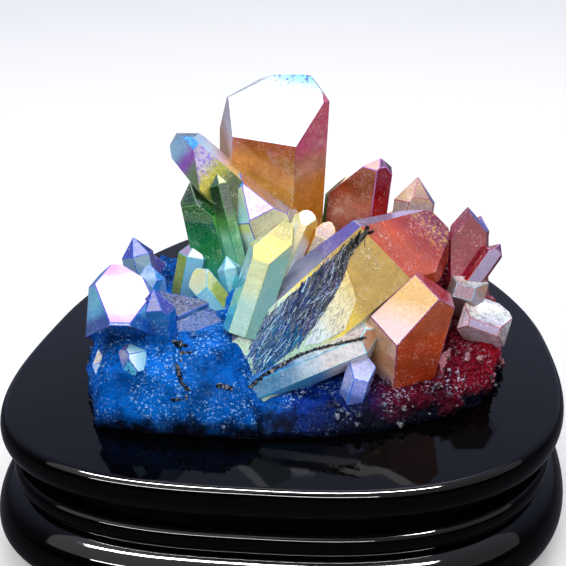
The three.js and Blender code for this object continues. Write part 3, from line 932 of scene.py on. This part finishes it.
def bloom():
    """Pale pearly colour, partly painted reflection, that spreads from one spot: its heart, a ring round it,
    and the rim.
    """
    tree, given, put = effect(
        "Pearly bloom",
        [("Heart", "colour", WHITE), ("Ring", "colour", WHITE), ("Rim", "colour", WHITE),
         ("Centre", "vector", (0, 0, 0)), ("Radius", "number", 0.01)],
        [("Colour", "colour")],
    )
    place = wired(tree, "ShaderNodeTexCoord").outputs["Object"]
    away = wired(tree, "ShaderNodeVectorMath", {"operation": "DISTANCE"}, i0=place, i1=given["Centre"])
    drift = wander(tree, speckle(tree, place, 200.0, 3.0), 0.7)
    share = plus(tree, sums(tree, "DIVIDE", away.outputs["Value"], given["Radius"]), drift)
    colour = blended(tree, eased(tree, share, 0.1, 0.6), given["Heart"], given["Ring"])
    tree.links.new(blended(tree, eased(tree, share, 0.6, 1.1), colour, given["Rim"]), put["Colour"])
    return tree


def across_the_cluster():
    """The coating's colours, left to right, with painted glitter, and painted shade at the foot."""
    tree, given, put = effect(
        "Colour across the cluster",
        [("Warp", "number", 0.25), ("Light", "number", 0.0)],
        [("Colour", "colour")],
    )
    place = wired(tree, "ShaderNodeTexCoord").outputs["Object"]
    parts = wired(tree, "ShaderNodeSeparateXYZ", Vector=place).outputs
    drift = wander(tree, speckle(tree, place, 70.0, 5.0, 0.6), given["Warp"])
    share = plus(tree, times(tree, parts["X"], 9.0), 0.5, drift, parts["Y"])
    colour = ramp(
        tree, share,
        (0.02, rgb(0, 80, 156)), (0.2, rgb(4, 100, 180)), (0.42, rgb(0, 88, 164)),
        (0.52, rgb(2, 56, 140)), (0.6, rgb(8, 16, 60)), (0.74, rgb(88, 8, 34)), (1.0, rgb(160, 26, 46)),
    )
    cloud = ramp(tree, speckle(tree, place, 160.0, 6.0, 0.6), (0.3, 0.28), (0.64, 1.0))
    colour = blended(tree, 0.85, colour, cloud, "MULTIPLY")
    # Painted glitter: pale specks in patches that stand in for sparkles of light. Light adds an even share of
    # it.
    painted_glitter = ramp(tree, speckle(tree, place, 1500.0, 4.0, 0.75), (0.56, 0.0), (0.61, 1.0), smooth=False)
    patches = ramp(tree, speckle(tree, place, 130.0, 2.0), (0.4, 0.1), (0.6, 1.0))
    pale = plus(tree, times(tree, painted_glitter, patches, 0.8), given["Light"])
    colour = blended(tree, pale, colour, blended(tree, 0.6, colour, rgb(200, 232, 255)))
    # Painted shade: the colour sinks to near black towards the matrix's foot by the stand.
    rise = plus(tree, parts["Z"], times(tree, sums(tree, "SUBTRACT", cloud, 0.6), 0.004))
    shade = eased(tree, rise, 0.0412, 0.0475)
    tree.links.new(blended(tree, shade, rgb(3, 6, 20), colour), put["Colour"])
    return tree


def coating():
    """The thin metal film on the quartz: pastel bands that wander over the faces."""
    tree, given, put = effect(
        "Rainbow film",
        [("Colour", "colour", WHITE), ("Strength", "number", 0.2), ("Bands", "number", 60.0)],
        [("Colour", "colour")],
    )
    place = wired(tree, "ShaderNodeTexCoord").outputs["Object"]
    normal = wired(tree, "ShaderNodeNewGeometry").outputs["True Normal"]
    facing = wired(tree, "ShaderNodeVectorMath", {"operation": "DOT_PRODUCT"}, i0=normal, i1=(0.6, 1.7, 0.9))
    wave = plus(tree, times(tree, speckle(tree, place, given["Bands"], 1.0), 2.4), facing.outputs["Value"])
    hues = ramp(
        tree, sums(tree, "FRACT", wave),
        (0.0, rgb(150, 90, 230)), (0.22, rgb(40, 140, 240)), (0.42, rgb(90, 225, 200)),
        (0.62, rgb(255, 225, 90)), (0.82, rgb(250, 110, 150)), (1.0, rgb(150, 90, 230)),
    )
    tree.links.new(blended(tree, given["Strength"], given["Colour"], hues, "OVERLAY"), put["Colour"])
    return tree


def growth_lines():
    """Fine steps across the sides of a crystal, with pits and dull smears."""
    tree, given, put = effect(
        "Growth lines",
        [("Lines", "number", 1.0), ("Pits", "number", 1.0)],
        [("Height", "number"), ("Dulling", "number")],
    )
    place = wired(tree, "ShaderNodeTexCoord").outputs["Object"]
    squeezed = wired(tree, "ShaderNodeVectorMath", {"operation": "MULTIPLY"}, i0=place, i1=(90, 90, 1500))
    steps = speckle(tree, squeezed.outputs[0], 1.0, 3.0, 0.55)
    terraces = wired(tree, "ShaderNodeVectorMath", {"operation": "MULTIPLY"}, i0=place, i1=(60, 60, 320))
    broad = speckle(tree, terraces.outputs[0], 1.0, 1.0)
    pits = ramp(tree, speckle(tree, place, 1700.0, 3.0, 0.7), (0.28, 0.0), (0.45, 1.0))
    stepped = times(tree, plus(tree, steps, broad), given["Lines"])
    pitted = times(tree, pits, given["Pits"])
    tree.links.new(plus(tree, stepped, pitted), put["Height"])
    smear = ramp(tree, speckle(tree, place, 140.0, 5.0, 0.65), (0.45, 0.0), (0.75, 1.0))
    tree.links.new(smear, put["Dulling"])
    return tree


DOWN = along_the_crystal()
BLOOM = bloom()
ACROSS = across_the_cluster()
FILM = coating()
LINES = growth_lines()


def shader(name):
    material = bpy.data.materials.new(name)
    material.use_nodes = True
    tree = material.node_tree
    tree.nodes.clear()
    output = tree.nodes.new("ShaderNodeOutputMaterial")
    body = tree.nodes.new("ShaderNodeBsdfPrincipled")
    tree.links.new(body.outputs[0], output.inputs["Surface"])
    return material, tree, body, output


def quartz_body(name, colour_of, absorbed, *, clear, film, lines, pits, dull, coat):
    """The glossy, see-through quartz under every coat. colour_of wires the coat's own colour."""
    material, tree, body, output = shader(name)
    colour = used(tree, FILM, Colour=colour_of(tree), Strength=film)[0]
    marks = used(tree, LINES, Lines=lines, Pits=pits)
    bump = wired(tree, "ShaderNodeBump", Height=marks["Height"], Strength=MARK_STRENGTH, Distance=MARK_DEPTH)
    tree.links.new(colour, body.inputs["Base Color"])
    tree.links.new(bump.outputs[0], body.inputs["Normal"])
    rough = plus(tree, times(tree, marks["Dulling"], 0.12), dull)
    tree.links.new(rough, body.inputs["Roughness"])
    body.inputs["IOR"].default_value = QUARTZ_IOR
    body.inputs["Transmission Weight"].default_value = clear
    body.inputs["Coat Weight"].default_value = coat
    body.inputs["Coat Roughness"].default_value = 0.03
    body.inputs["Coat IOR"].default_value = FILM_IOR
    haze = wired(tree, "ShaderNodeVolumeAbsorption", Color=absorbed, Density=HAZE_DENSITY)
    tree.links.new(haze.outputs[0], output.inputs["Volume"])
    return material


def quartz(name, tip, middle, foot, *, start, reach, clear=0.25, mottle=0.3, veil=0.07, film=0.08,
           lines=1.0, pits=1.0, dull=0.05, coat=1.0, fleck=None, flecks=1.0):
    """Coated quartz, coloured from the tip down."""
    def colour_of(tree):
        return used(tree, DOWN, Tip=tip, Middle=middle, Foot=foot, Start=start, Reach=reach, Mottle=mottle,
                    Veil=veil, Fleck=fleck or tip, Flecks=flecks if fleck else 0.0)[0]
    absorbed = tuple(0.35 + 0.65 * value for value in middle[:3]) + (1,)
    return quartz_body(name, colour_of, absorbed, clear=clear, film=film, lines=lines, pits=pits,
                       dull=dull, coat=coat)


def dull_facet(name, tip, middle, foot, **more):
    """A duller facet that hides the quartz. Where it is white, it is partly tint, partly painted reflection.
    """
    settings = dict(clear=0.12, mottle=0.08, veil=0.0, film=0.06, dull=0.14, coat=0.35, lines=0.4)
    return quartz(name, tip, middle, foot, **{**settings, **more})


def pearly_painted_facet(name, heart, ring, rim, centre, radius):
    """A facet with a pearly bloom round its centre, in metres from the tip: partly tint, partly painted
    reflection.
    """
    def colour_of(tree):
        return used(tree, BLOOM, Heart=heart, Ring=ring, Rim=rim, Centre=centre, Radius=radius)[0]
    return quartz_body(name, colour_of, WHITE, clear=0.1, film=0.05, lines=0.3, pits=0.5, dull=0.16, coat=0.3)


# Paint chips for each finish at the tip, the middle and the foot. Then, in millimetres along a crystal's own
# Z, the height where the run of colours starts and how far down it reaches. Last, what differs from its kind.
CLEAR_COATS = {
    # the bodies of the crystals
    "amber": ((200, 100, 40), (215, 140, 60), (235, 170, 90), -20, 12, dict(veil=0.35, pits=2.0)),
    "blade": ((180, 140, 0), (230, 200, 0), (170, 210, 180), -27, 18,
              dict(veil=0.1, pits=3.0, film=0.03, coat=0.5)),
    "violet": ((90, 140, 210), (190, 130, 190), (210, 150, 50), 0, 36),
    "dark_green": ((20, 70, 10), (70, 150, 60), (130, 200, 150), -8, 8),
    "leaf_green": ((0, 110, 10), (50, 150, 60), (80, 200, 150), -8, 18),
    "sea_green": ((200, 200, 130), (160, 200, 180), (90, 190, 190), 0, 30, dict(veil=0.3)),
    "olive_gold": ((210, 170, 30), (170, 160, 50), (110, 160, 110), 0, 30),
    "lemon": ((160, 180, 80), (150, 180, 110), (90, 170, 150), -14, 8, dict(veil=0.15)),
    "cream": ((230, 210, 140), (200, 190, 130), (120, 150, 110), -10, 6),
    "orange": ((230, 150, 40), (220, 120, 20), (200, 90, 20), 0, 26),
    "red_brown": ((170, 80, 50), (200, 100, 80), (220, 130, 110), -11, 8, dict(veil=0.45)),
    "peach": ((220, 170, 130), (225, 185, 150), (200, 170, 160), -4, 3),
    "crimson": ((120, 0, 20), (150, 0, 30), (180, 20, 60), 0, 20, dict(film=0.06, coat=0.35)),
    "white_gold": ((230, 220, 190), (220, 210, 200), (110, 170, 190), 0, 36, dict(veil=0.4, pits=4.0)),
    "pearl_blue": ((80, 160, 220), (10, 110, 210), (0, 80, 180), 0, 26),
    "deep_blue": ((20, 150, 220), (0, 120, 210), (0, 110, 200), 0, 20, dict(mottle=0.5, film=0.05)),
    "royal_blue": ((0, 50, 170), (0, 40, 150), (0, 40, 130), 0, 20),
    "sky_blue": ((90, 160, 220), (10, 110, 200), (0, 70, 160), 0, 14),
    "lavender": ((160, 170, 230), (130, 150, 220), (90, 110, 170), -8.5, 3, dict(veil=0.4, pits=3.0)),
    "cyan": ((120, 200, 220), (80, 200, 220), (60, 180, 200), -4, 4),
    "ember": ((210, 100, 40), (215, 85, 25), (190, 75, 25), 5, 10, dict(veil=0.1)),
    "stepped_blue": ((60, 110, 180), (20, 120, 210), (0, 90, 190), 8, 16),
    # single facets
    "rose_amber": ((240, 110, 140), (240, 170, 130), (240, 160, 50), -20, 13, dict(veil=0.3)),
    # streaked_white is partly painted reflection of the bright room on facets that face up.
    "streaked_white": ((240, 235, 220), (225, 220, 215), (190, 180, 175), -4.5, 6,
                       dict(clear=0.1, mottle=0.7, veil=0.6, lines=3.0, pits=5.0, dull=0.12, coat=0.5)),
    "magenta": ((190, 40, 120), (230, 130, 120), (230, 140, 20), 0, 42, dict(veil=0.35)),
    "fire": ((130, 20, 60), (160, 30, 0), (190, 70, 0), -4.5, 8,
             dict(veil=0.05, fleck=rgb(240, 200, 60), flecks=0.35, coat=0.3, film=0.05)),
    "gold_band": ((230, 90, 20), (240, 220, 60), (240, 235, 190), -16, 18, dict(pits=3.0)),
    "violet_rim": ((170, 210, 240), (180, 110, 210), (130, 160, 110), -7, 6, dict(clear=0.3)),
    "pale_green": ((130, 220, 120), (120, 220, 150), (100, 210, 190), -10, 10, dict(veil=0.3)),
    "plum": ((40, 20, 100), (100, 20, 60), (110, 20, 40), 0, 14, dict(coat=0.35)),
    "cyan_blue": ((120, 210, 240), (90, 190, 240), (10, 90, 180), -13, 5, dict(clear=0.3)),
    "bronze_step": ((0, 50, 120), (0, 70, 150), (0, 90, 170), 8, 10,
                    dict(clear=0.2, mottle=0.7, veil=0.15, lines=5.0, coat=0.0, film=0.05)),
    "slate_step": ((0, 80, 160), (10, 100, 190), (10, 110, 200), 0, 10,
                   dict(clear=0.2, mottle=0.6, veil=0.15, lines=5.0, coat=0.0, film=0.05)),
    "cyan_step": ((120, 210, 240), (70, 180, 230), (10, 110, 210), 0, 12,
                  dict(clear=0.3, lines=3.0, coat=0.35)),
    "gold": ((180, 120, 50), (160, 100, 20), (140, 80, 10), -2, 3, dict(clear=0.3)),
    "pale_olive": ((150, 140, 40), (130, 140, 40), (230, 230, 180), -4, 3, dict(veil=0.2)),
    "cyan_teal": ((200, 240, 240), (60, 200, 220), (40, 200, 210), -14, 8, dict(veil=0.2)),
    "pale_gold": ((240, 235, 150), (240, 235, 180), (240, 240, 220), -5, 3),
    "bottle_green": ((0, 40, 10), (0, 70, 10), (10, 100, 20), -2, 6),
    "streaked_blue": ((210, 205, 195), (220, 230, 240), (50, 120, 190), -12, 13,
                      dict(veil=0.3, pits=4.0, mottle=0.6)),
    "plate": ((240, 240, 235), (190, 220, 235), (100, 160, 190), -14, 12, dict(veil=0.3, pits=4.0)),
    "ruby": ((170, 50, 70), (160, 20, 30), (200, 40, 40), -8, 7, dict(coat=0.35)),
    "mauve_grey": ((200, 150, 120), (180, 150, 140), (180, 170, 170), -8, 4, dict(veil=0.3)),
}
PALE_COATS = {
    # single facets. cool_white, warm_white, pink_white and cyan_glint are partly painted reflection of the
    # bright room.
    "cool_white": ((90, 190, 230), (230, 240, 240), (240, 240, 240), -5.5, 8, dict(fleck=rgb(20, 50, 150))),
    "warm_white": ((240, 240, 240), (240, 240, 220), (230, 230, 200), 0, 20),
    "rose": ((240, 235, 240), (240, 200, 200), (240, 180, 130), -19, 8, dict(clear=0.2)),
    "violet_strip": ((90, 90, 160), (90, 100, 140), (140, 140, 170), -24, 11),
    "blue_flecked": ((80, 160, 190), (50, 150, 190), (60, 150, 200), 0, 20, dict(fleck=rgb(40, 30, 170))),
    "flecked_yellow": ((180, 170, 200), (180, 170, 30), (70, 90, 10), -12.5, 9,
                       dict(fleck=rgb(100, 40, 190), flecks=0.7, mottle=0.5, coat=0.1)),
    "lilac_glaze": ((150, 130, 170), (140, 120, 150), (120, 110, 130), 0, 14),
    "peach_glaze": ((200, 150, 60), (210, 170, 130), (210, 180, 170), 12, 6),
    "sun_yellow": ((160, 150, 30), (200, 190, 40), (220, 210, 60), -4, 4, dict(mottle=0.3)),
    "broken_ground": ((30, 30, 10), (40, 50, 60), (0, 80, 130), -16, 42),
    "blade_ground": ((210, 180, 100), (210, 200, 160), (190, 200, 200), -26, 16),
    "lilac_gold": ((190, 220, 240), (210, 190, 210), (230, 200, 130), -11.5, 8),
    "sky_glaze": ((240, 240, 245), (120, 180, 240), (100, 190, 240), -14, 9),
    "pink_white": ((240, 220, 230), (240, 220, 230), (240, 220, 230), 0, 10, dict(mottle=0.5, veil=0.6)),
    "cream_side": ((220, 180, 80), (240, 235, 220), (235, 240, 240), -8, 5),
    "sage_white": ((190, 200, 120), (190, 200, 160), (140, 190, 180), 0, 10),
    "pale_sea": ((220, 235, 150), (230, 240, 220), (210, 240, 230), -13, 3),
    "blue_grey": ((120, 150, 180), (160, 180, 200), (120, 150, 170), -2, 3),
    "ice_blue": ((210, 235, 240), (160, 210, 225), (130, 190, 210), -2, 3),
    "cyan_glint": ((110, 200, 230), (180, 230, 240), (230, 240, 240), -2, 6,
                   dict(fleck=rgb(30, 60, 150), mottle=0.5)),
    # splinters and cracks
    "splinter_dark": ((20, 20, 20), (20, 20, 30), (0, 40, 70), 0, 60, dict(mottle=0.4)),
    "splinter_olive": ((110, 100, 40), (70, 80, 60), (30, 80, 90), 0, 60),
    "splinter_slate": ((100, 100, 120), (70, 90, 140), (30, 100, 150), 0, 60),
    "splinter_mauve": ((140, 80, 50), (130, 100, 150), (100, 110, 160), 0, 50),
    # splinter_glint is painted glint; splinter_gold and splinter_cream are partly the face's gold, partly
    # painted glint.
    "splinter_glint": ((230, 210, 170), (210, 220, 240), (190, 230, 240), 0, 50),
    "splinter_teal": ((40, 110, 120), (20, 130, 160), (10, 140, 180), 0, 60),
    "splinter_blue": ((40, 70, 130), (20, 80, 160), (10, 80, 180), 0, 60),
    "splinter_gold": ((220, 190, 90), (200, 180, 120), (190, 190, 180), 0, 50),
    "splinter_cream": ((240, 230, 200), (240, 230, 220), (210, 220, 230), 0, 50),
    "black": ((0, 0, 10), (0, 0, 10), (0, 0, 10), 0, 30, dict(dull=0.3)),
    # edges: painted shade outlines along the softened edges
    "edge_blue": ((30, 110, 180), (150, 100, 180), (190, 90, 70), 0, 40, dict(mottle=0.5)),
    "edge_violet": ((70, 80, 200), (110, 80, 190), (30, 70, 170), 0, 20),
    "edge_rose": ((190, 120, 190), (170, 110, 120), (60, 120, 180), 0, 60),
    "edge_navy": ((60, 100, 210), (30, 110, 210), (20, 110, 200), 0, 20, dict(mottle=0.4)),
    "edge_moss": ((80, 130, 40), (40, 140, 60), (50, 160, 130), 0, 20, dict(mottle=0.4)),
    "edge_olive": ((220, 200, 90), (210, 200, 130), (150, 190, 150), 0, 20, dict(mottle=0.4)),
    "edge_teal": ((140, 200, 220), (90, 190, 210), (50, 160, 190), 0, 20, dict(mottle=0.4)),
    "edge_dark": ((150, 70, 120), (170, 60, 60), (130, 30, 40), 0, 20, dict(mottle=0.4)),
}


def finishes(kind, coats):
    """Every finish of a table, by name."""
    made = {}
    for name, (tip, middle, foot, start, reach, *more) in coats.items():
        paints = [rgb(*paint) for paint in (tip, middle, foot)]
        differing = more[0] if more else {}
        made[name] = kind(name, *paints, start=start * MM, reach=reach * MM, **differing)
    return made


FINISHES = {
    **finishes(quartz, CLEAR_COATS), **finishes(dull_facet, PALE_COATS),
    # The pearl point's cap: pale colour that is partly painted reflection of the bright room.
    "pearly_painted_reflection": pearly_painted_facet(
        "pearly_painted_reflection", rgb(230, 220, 150), rgb(220, 220, 220), rgb(210, 150, 210),
        centre=(0.001, -0.0065, -0.0075), radius=0.011,
    ),
}


def druzy_finish(name, *, gloss, clear, light, sheen):
    """The granular skin of the matrix and the tiny points on it."""
    material, tree, body, _ = shader(name)
    colour = used(tree, ACROSS, Light=light)[0]
    tree.links.new(colour, body.inputs["Base Color"])
    place = wired(tree, "ShaderNodeTexCoord").outputs["Object"]
    grain = wired(tree, "ShaderNodeTexVoronoi", Vector=place, Scale=1500.0).outputs["Distance"]
    bump = wired(tree, "ShaderNodeBump", Height=grain, Strength=0.22, Distance=MARK_DEPTH)
    tree.links.new(bump.outputs[0], body.inputs["Normal"])
    rough = ramp(tree, speckle(tree, place, 500.0, 3.0), (0.3, gloss), (0.8, gloss + 0.3))
    tree.links.new(rough, body.inputs["Roughness"])
    body.inputs["IOR"].default_value = QUARTZ_IOR
    body.inputs["Transmission Weight"].default_value = clear
    body.inputs["Specular IOR Level"].default_value = sheen
    body.inputs["Coat Weight"].default_value = sheen
    body.inputs["Coat Roughness"].default_value = 0.06
    body.inputs["Coat IOR"].default_value = 1.5
    return material


def lacquer_finish():
    """Deep black lacquer: a mirror with the faint waves of a hand-rubbed coat, and a little dust."""
    material, tree, body, _ = shader("black_lacquer")
    place = wired(tree, "ShaderNodeTexCoord").outputs["Object"]
    dust = ramp(tree, speckle(tree, place, 900.0, 4.0, 0.7), (0.62, 0.0), (0.72, 1.0))
    tree.links.new(blended(tree, times(tree, dust, 0.03), rgb(3, 3, 4), rgb(120, 120, 130)),
                   body.inputs["Base Color"])
    waves = plus(tree, speckle(tree, place, 55.0, 1.0), times(tree, speckle(tree, place, 400.0), 0.06))
    bump = wired(tree, "ShaderNodeBump", Height=waves, Strength=0.12, Distance=0.0012)
    tree.links.new(bump.outputs[0], body.inputs["Normal"])
    smear = ramp(tree, speckle(tree, place, 60.0, 5.0, 0.6), (0.4, 0.04), (0.8, 0.1))
    tree.links.new(smear, body.inputs["Roughness"])
    body.inputs["IOR"].default_value = LACQUER_IOR
    return material


# ---------------------------------------------------------------- the cluster and its stand

TALL_CRYSTALS = (
    ("amber_point", "amber", AMBER_POINT),
    ("rainbow_blade", "blade", RAINBOW_BLADE),
    ("green_stem", "leaf_green", GREEN_STEM),
    ("violet_blade", "violet", VIOLET_BLADE),
    ("red_point", "red_brown", RED_POINT),
    ("crimson_point", "crimson", CRIMSON_POINT),
    ("pearl_point", "pearl_blue", PEARL_POINT),
    ("blue_pillar", "deep_blue", BLUE_PILLAR),
    ("pale_gem", "white_gold", PALE_GEM),
    ("orange_block", "ember", ORANGE_BLOCK),
    *((f"stepped_block_{i}", "stepped_blue", shape) for i, shape in enumerate(STEPPED_BLOCK)),
)

# The broken face of the rainbow blade: its outline, and its coats, each group down to a height.
BROKEN_OUTLINE = [
    (-9.3, -15.8), (-10, -18.8), (-10.2, -24.5), (-10.4, -35.6), (-10.6, -43), (-10.6, -49.5), (-8.1, -55),
    (-1.6, -58), (-0.8, -44.5), (-2.4, -36.1), (-4.3, -29.8), (-6.1, -25.9), (-7.7, -23.5), (-8.5, -17.6),
]
BROKEN_BANDS = [
    (-22, ("ground", "dark", "olive", "dark", "dark")),
    (-29, ("ground", "dark", "olive", "mauve", "dark", "glint")),
    (-44, ("ground", "slate", "mauve", "glint", "blue", "dark")),
    (-99, ("ground", "teal", "blue", "glint", "slate")),
]
# The bright band beside it, its pale splinters partly painted glitter.
GLITTER_OUTLINE = [
    (-6.3, -26.1), (-2.4, -27.8), (0.7, -29.5), (4, -36.1),
    (2.2, -42.3), (0, -45.3), (-2.4, -36.1), (-4.3, -29.8),
]
GLITTER_BANDS = [(-33, ("ground", "cream", "gold")), (-99, ("cream", "slate"))]
SPLINTERS_RUN = 107

# Cracks: a width, and the path of its middle.
CRACK_PATHS = (
    (0.7, ((-8.7, -42.2, 9.8), (-6, -40.2, 11.2), (-3.2, -38.4, 12.4), (0.1, -36.5, 13.7),
           (2.8, -35.3, 14.7))),
    (0.5, ((2.8, -35.3, 14.7), (5.9, -34.7, 15.8), (9.5, -34.5, 17), (13.6, -34.5, 18.3),
           (17.2, -34.3, 19.4))),
    (1.3, ((-26.5, -37.5, 18.5), (-24.5, -37.7, 17.3), (-23.2, -37.6, 17))),
    (0.9, ((-24.8, -39.4, 16.2), (-21.8, -39.8, 16.4))),
    (1.1, ((-24.7, -41.1, 15.7), (-23.7, -41.4, 15.5))),
    (0.7, ((-25, -42.2, 15.4), (-24.2, -44, 13.6), (-23.4, -45.2, 12), (-21.6, -45.6, 10.3),
           (-22.8, -46.7, 8.8), (-25.4, -46.9, 8.9))),
    (0.8, ((-27.2, -42.9, 14.6), (-26.8, -43, 14.3))),
    (0.7, ((-28.9, -43.9, 13.6), (-28.4, -44, 13.2))),
    (0.8, ((-16, -44.4, 11.6), (-14.3, -44.5, 11.2), (-12.6, -44.4, 11))),
)


def named(bands, ground):
    return [(floor_z, [ground if coat == "ground" else f"splinter_{coat}" for coat in group])
            for floor_z, group in bands]


stand = lacquered_stand(lacquer_finish())
for name, finish, shape in (*TALL_CRYSTALS, *SMALL_CRYSTALS):
    crystal(name, shape, finish)
splinters("broken_face", RAINBOW_BLADE, BROKEN_OUTLINE, SPLINTERS_RUN, (1.2, 5),
          named(BROKEN_BANDS, "broken_ground"), unless_quick(1500), seed=21)
splinters("glittering_band", RAINBOW_BLADE, GLITTER_OUTLINE, SPLINTERS_RUN, (0.5, 2),
          named(GLITTER_BANDS, "blade_ground"), unless_quick(500), seed=22)
cracks("dark_cracks", CRACK_PATHS, "black", seed=31)
skin = druzy_matrix(druzy_finish("druzy_quartz", gloss=0.3, clear=0.1, light=0.0, sheen=0.0))
solids = [planes_of(shape) for _, _, shape in (*TALL_CRYSTALS, *SMALL_CRYSTALS)]
grain_finish = druzy_finish("druse_points", gloss=0.2, clear=0.2, light=0.0, sheen=0.05)
# The coarse points take a small even share of the painted pale glitter colour.
glitter_finish = druzy_finish("druse_glitter", gloss=0.04, clear=0.25, light=0.06, sheen=0.5)
druse("druse", skin, solids, grain_finish, unless_quick(9000), seed=7, sizes=(0.1, 0.34))
druse("druse_coarse", skin, solids, glitter_finish, unless_quick(800), seed=8,
      sizes=(0.5, 1.1), front=0.12)


# ---------------------------------------------------------------- floor, light and camera

# In metres: the floor, and the distances between which it fades.
FLOOR_RADIUS = 3.0
FLOOR_DROP = 0.0002
FADE_FROM, FADE_TO = 0.5, 1.1
ROOM_WHITE = (0.93, 0.93, 0.95, 1)
FLOOR_AS_LIT = (0.1, 0.1, 0.105, 1)
FLOOR_AS_SEEN = (0.58, 0.57, 0.515, 1)
LAMPS_AIM = Vector((0, 0, 0.065))
SENSOR = 36
FOCAL_PIXELS, IMAGE_PIXELS = 1000, 566
CAMERA_HEADING, CAMERA_RISE, CAMERA_AWAY = 4.46 - 90, 30, 0.2862
CAMERA_TARGET = Vector(((-6.08 + SHIFT) * MM, 22.18 * MM, STAND_HEIGHT * MM))


def floor():
    """A pale table that fades into the room's white far from the cluster, as the camera sees it."""
    bm = bmesh.new()
    bmesh.ops.create_circle(bm, cap_ends=True, segments=96, radius=FLOOR_RADIUS)
    mesh = mesh_from(bm, "floor")
    ground = bpy.data.objects.new("floor", mesh)
    bpy.context.scene.collection.objects.link(ground)
    ground.location.z = -FLOOR_DROP
    material, tree, body, output = shader("pale_floor")
    seen = wired(tree, "ShaderNodeLightPath").outputs["Is Camera Ray"]
    tree.links.new(blended(tree, seen, FLOOR_AS_LIT, FLOOR_AS_SEEN), body.inputs["Base Color"])
    body.inputs["Roughness"].default_value = 0.8
    body.inputs["Specular IOR Level"].default_value = 0.1
    place = wired(tree, "ShaderNodeTexCoord").outputs["Object"]
    away = wired(tree, "ShaderNodeVectorMath", {"operation": "LENGTH"}, Vector=place).outputs["Value"]
    far = wired(tree, "ShaderNodeMapRange", Value=away, i1=FADE_FROM, i2=FADE_TO)
    sky = wired(tree, "ShaderNodeEmission", Color=ROOM_WHITE)
    joined = wired(tree, "ShaderNodeMixShader", Fac=times(tree, far.outputs[0], seen))
    tree.links.new(body.outputs[0], joined.inputs[1])
    tree.links.new(sky.outputs[0], joined.inputs[2])
    tree.links.new(joined.outputs[0], output.inputs["Surface"])
    mesh.materials.append(material)


def softbox(name, *, heading, rise, away, size, power, shines_on=None):
    """A rectangular lamp, aimed at the middle of the cluster. It can shine on one piece only."""
    light = bpy.data.lights.new(name, "AREA")
    light.shape = "RECTANGLE"
    light.size, light.size_y = size
    light.energy = power
    lamp = bpy.data.objects.new(name, light)
    bpy.context.scene.collection.objects.link(lamp)
    lamp.location = LAMPS_AIM + direction(heading, rise) * away
    lamp.rotation_euler = (-direction(heading, rise)).to_track_quat("-Z", "Y").to_euler()
    if shines_on:
        lit = bpy.data.collections.new(name + "_lit")
        lit.objects.link(shines_on)
        lamp.light_linking.receiver_collection = lit
        lamp.visible_diffuse = False


def studio(stand):
    """A white room, dark low in front of the table, with a large softbox over the left shoulder."""
    world = bpy.data.worlds.new("studio")
    bpy.context.scene.world = world
    world.use_nodes = True
    tree = world.node_tree
    tree.nodes.clear()
    way = wired(tree, "ShaderNodeTexCoord").outputs["Generated"]
    parts = wired(tree, "ShaderNodeSeparateXYZ", Vector=way).outputs
    upward = times(tree, parts["Z"], 0.55)
    backward = times(tree, parts["Y"], 0.4)
    level = plus(tree, upward, backward, 0.4)
    dark, grey, bright = (0.012, 0.012, 0.015, 1), (0.16, 0.16, 0.19, 1), (0.8, 0.86, 1.2, 1)
    room = ramp(tree, level, (0.2, dark), (0.5, grey), (0.95, bright))
    seen = wired(tree, "ShaderNodeLightPath").outputs["Is Camera Ray"]
    colour = blended(tree, seen, room, ROOM_WHITE)
    lit = wired(tree, "ShaderNodeBackground", Color=colour, Strength=1.0)
    output = tree.nodes.new("ShaderNodeOutputWorld")
    tree.links.new(lit.outputs[0], output.inputs["Surface"])
    softbox("key_softbox", heading=-127, rise=45, away=0.9, size=(0.9, 0.9), power=7.4)
    softbox("top_softbox", heading=80, rise=72, away=0.8, size=(0.6, 0.5), power=3)
    softbox("fill_softbox", heading=-42, rise=42, away=0.95, size=(1.3, 1.1), power=6.5)
    softbox("high_strip", heading=-96, rise=64, away=0.9, size=(1.1, 0.09), power=130, shines_on=stand)
    softbox("low_strip", heading=-100, rise=20, away=0.9, size=(0.9, 0.03), power=10, shines_on=stand)


def photographer():
    camera = bpy.data.cameras.new("camera")
    camera.sensor_width = SENSOR
    camera.lens = SENSOR * FOCAL_PIXELS / IMAGE_PIXELS
    camera.clip_start = 0.01
    stand_in = bpy.data.objects.new("camera", camera)
    bpy.context.scene.collection.objects.link(stand_in)
    back = direction(CAMERA_HEADING, CAMERA_RISE)
    stand_in.location = CAMERA_TARGET + back * CAMERA_AWAY
    stand_in.rotation_euler = (-back).to_track_quat("-Z", "Y").to_euler()
    bpy.context.scene.camera = stand_in


floor()
studio(stand)
photographer()
bpy.context.scene.view_settings.view_transform = "Standard"
bpy.context.scene.view_settings.look = "Medium High Contrast"
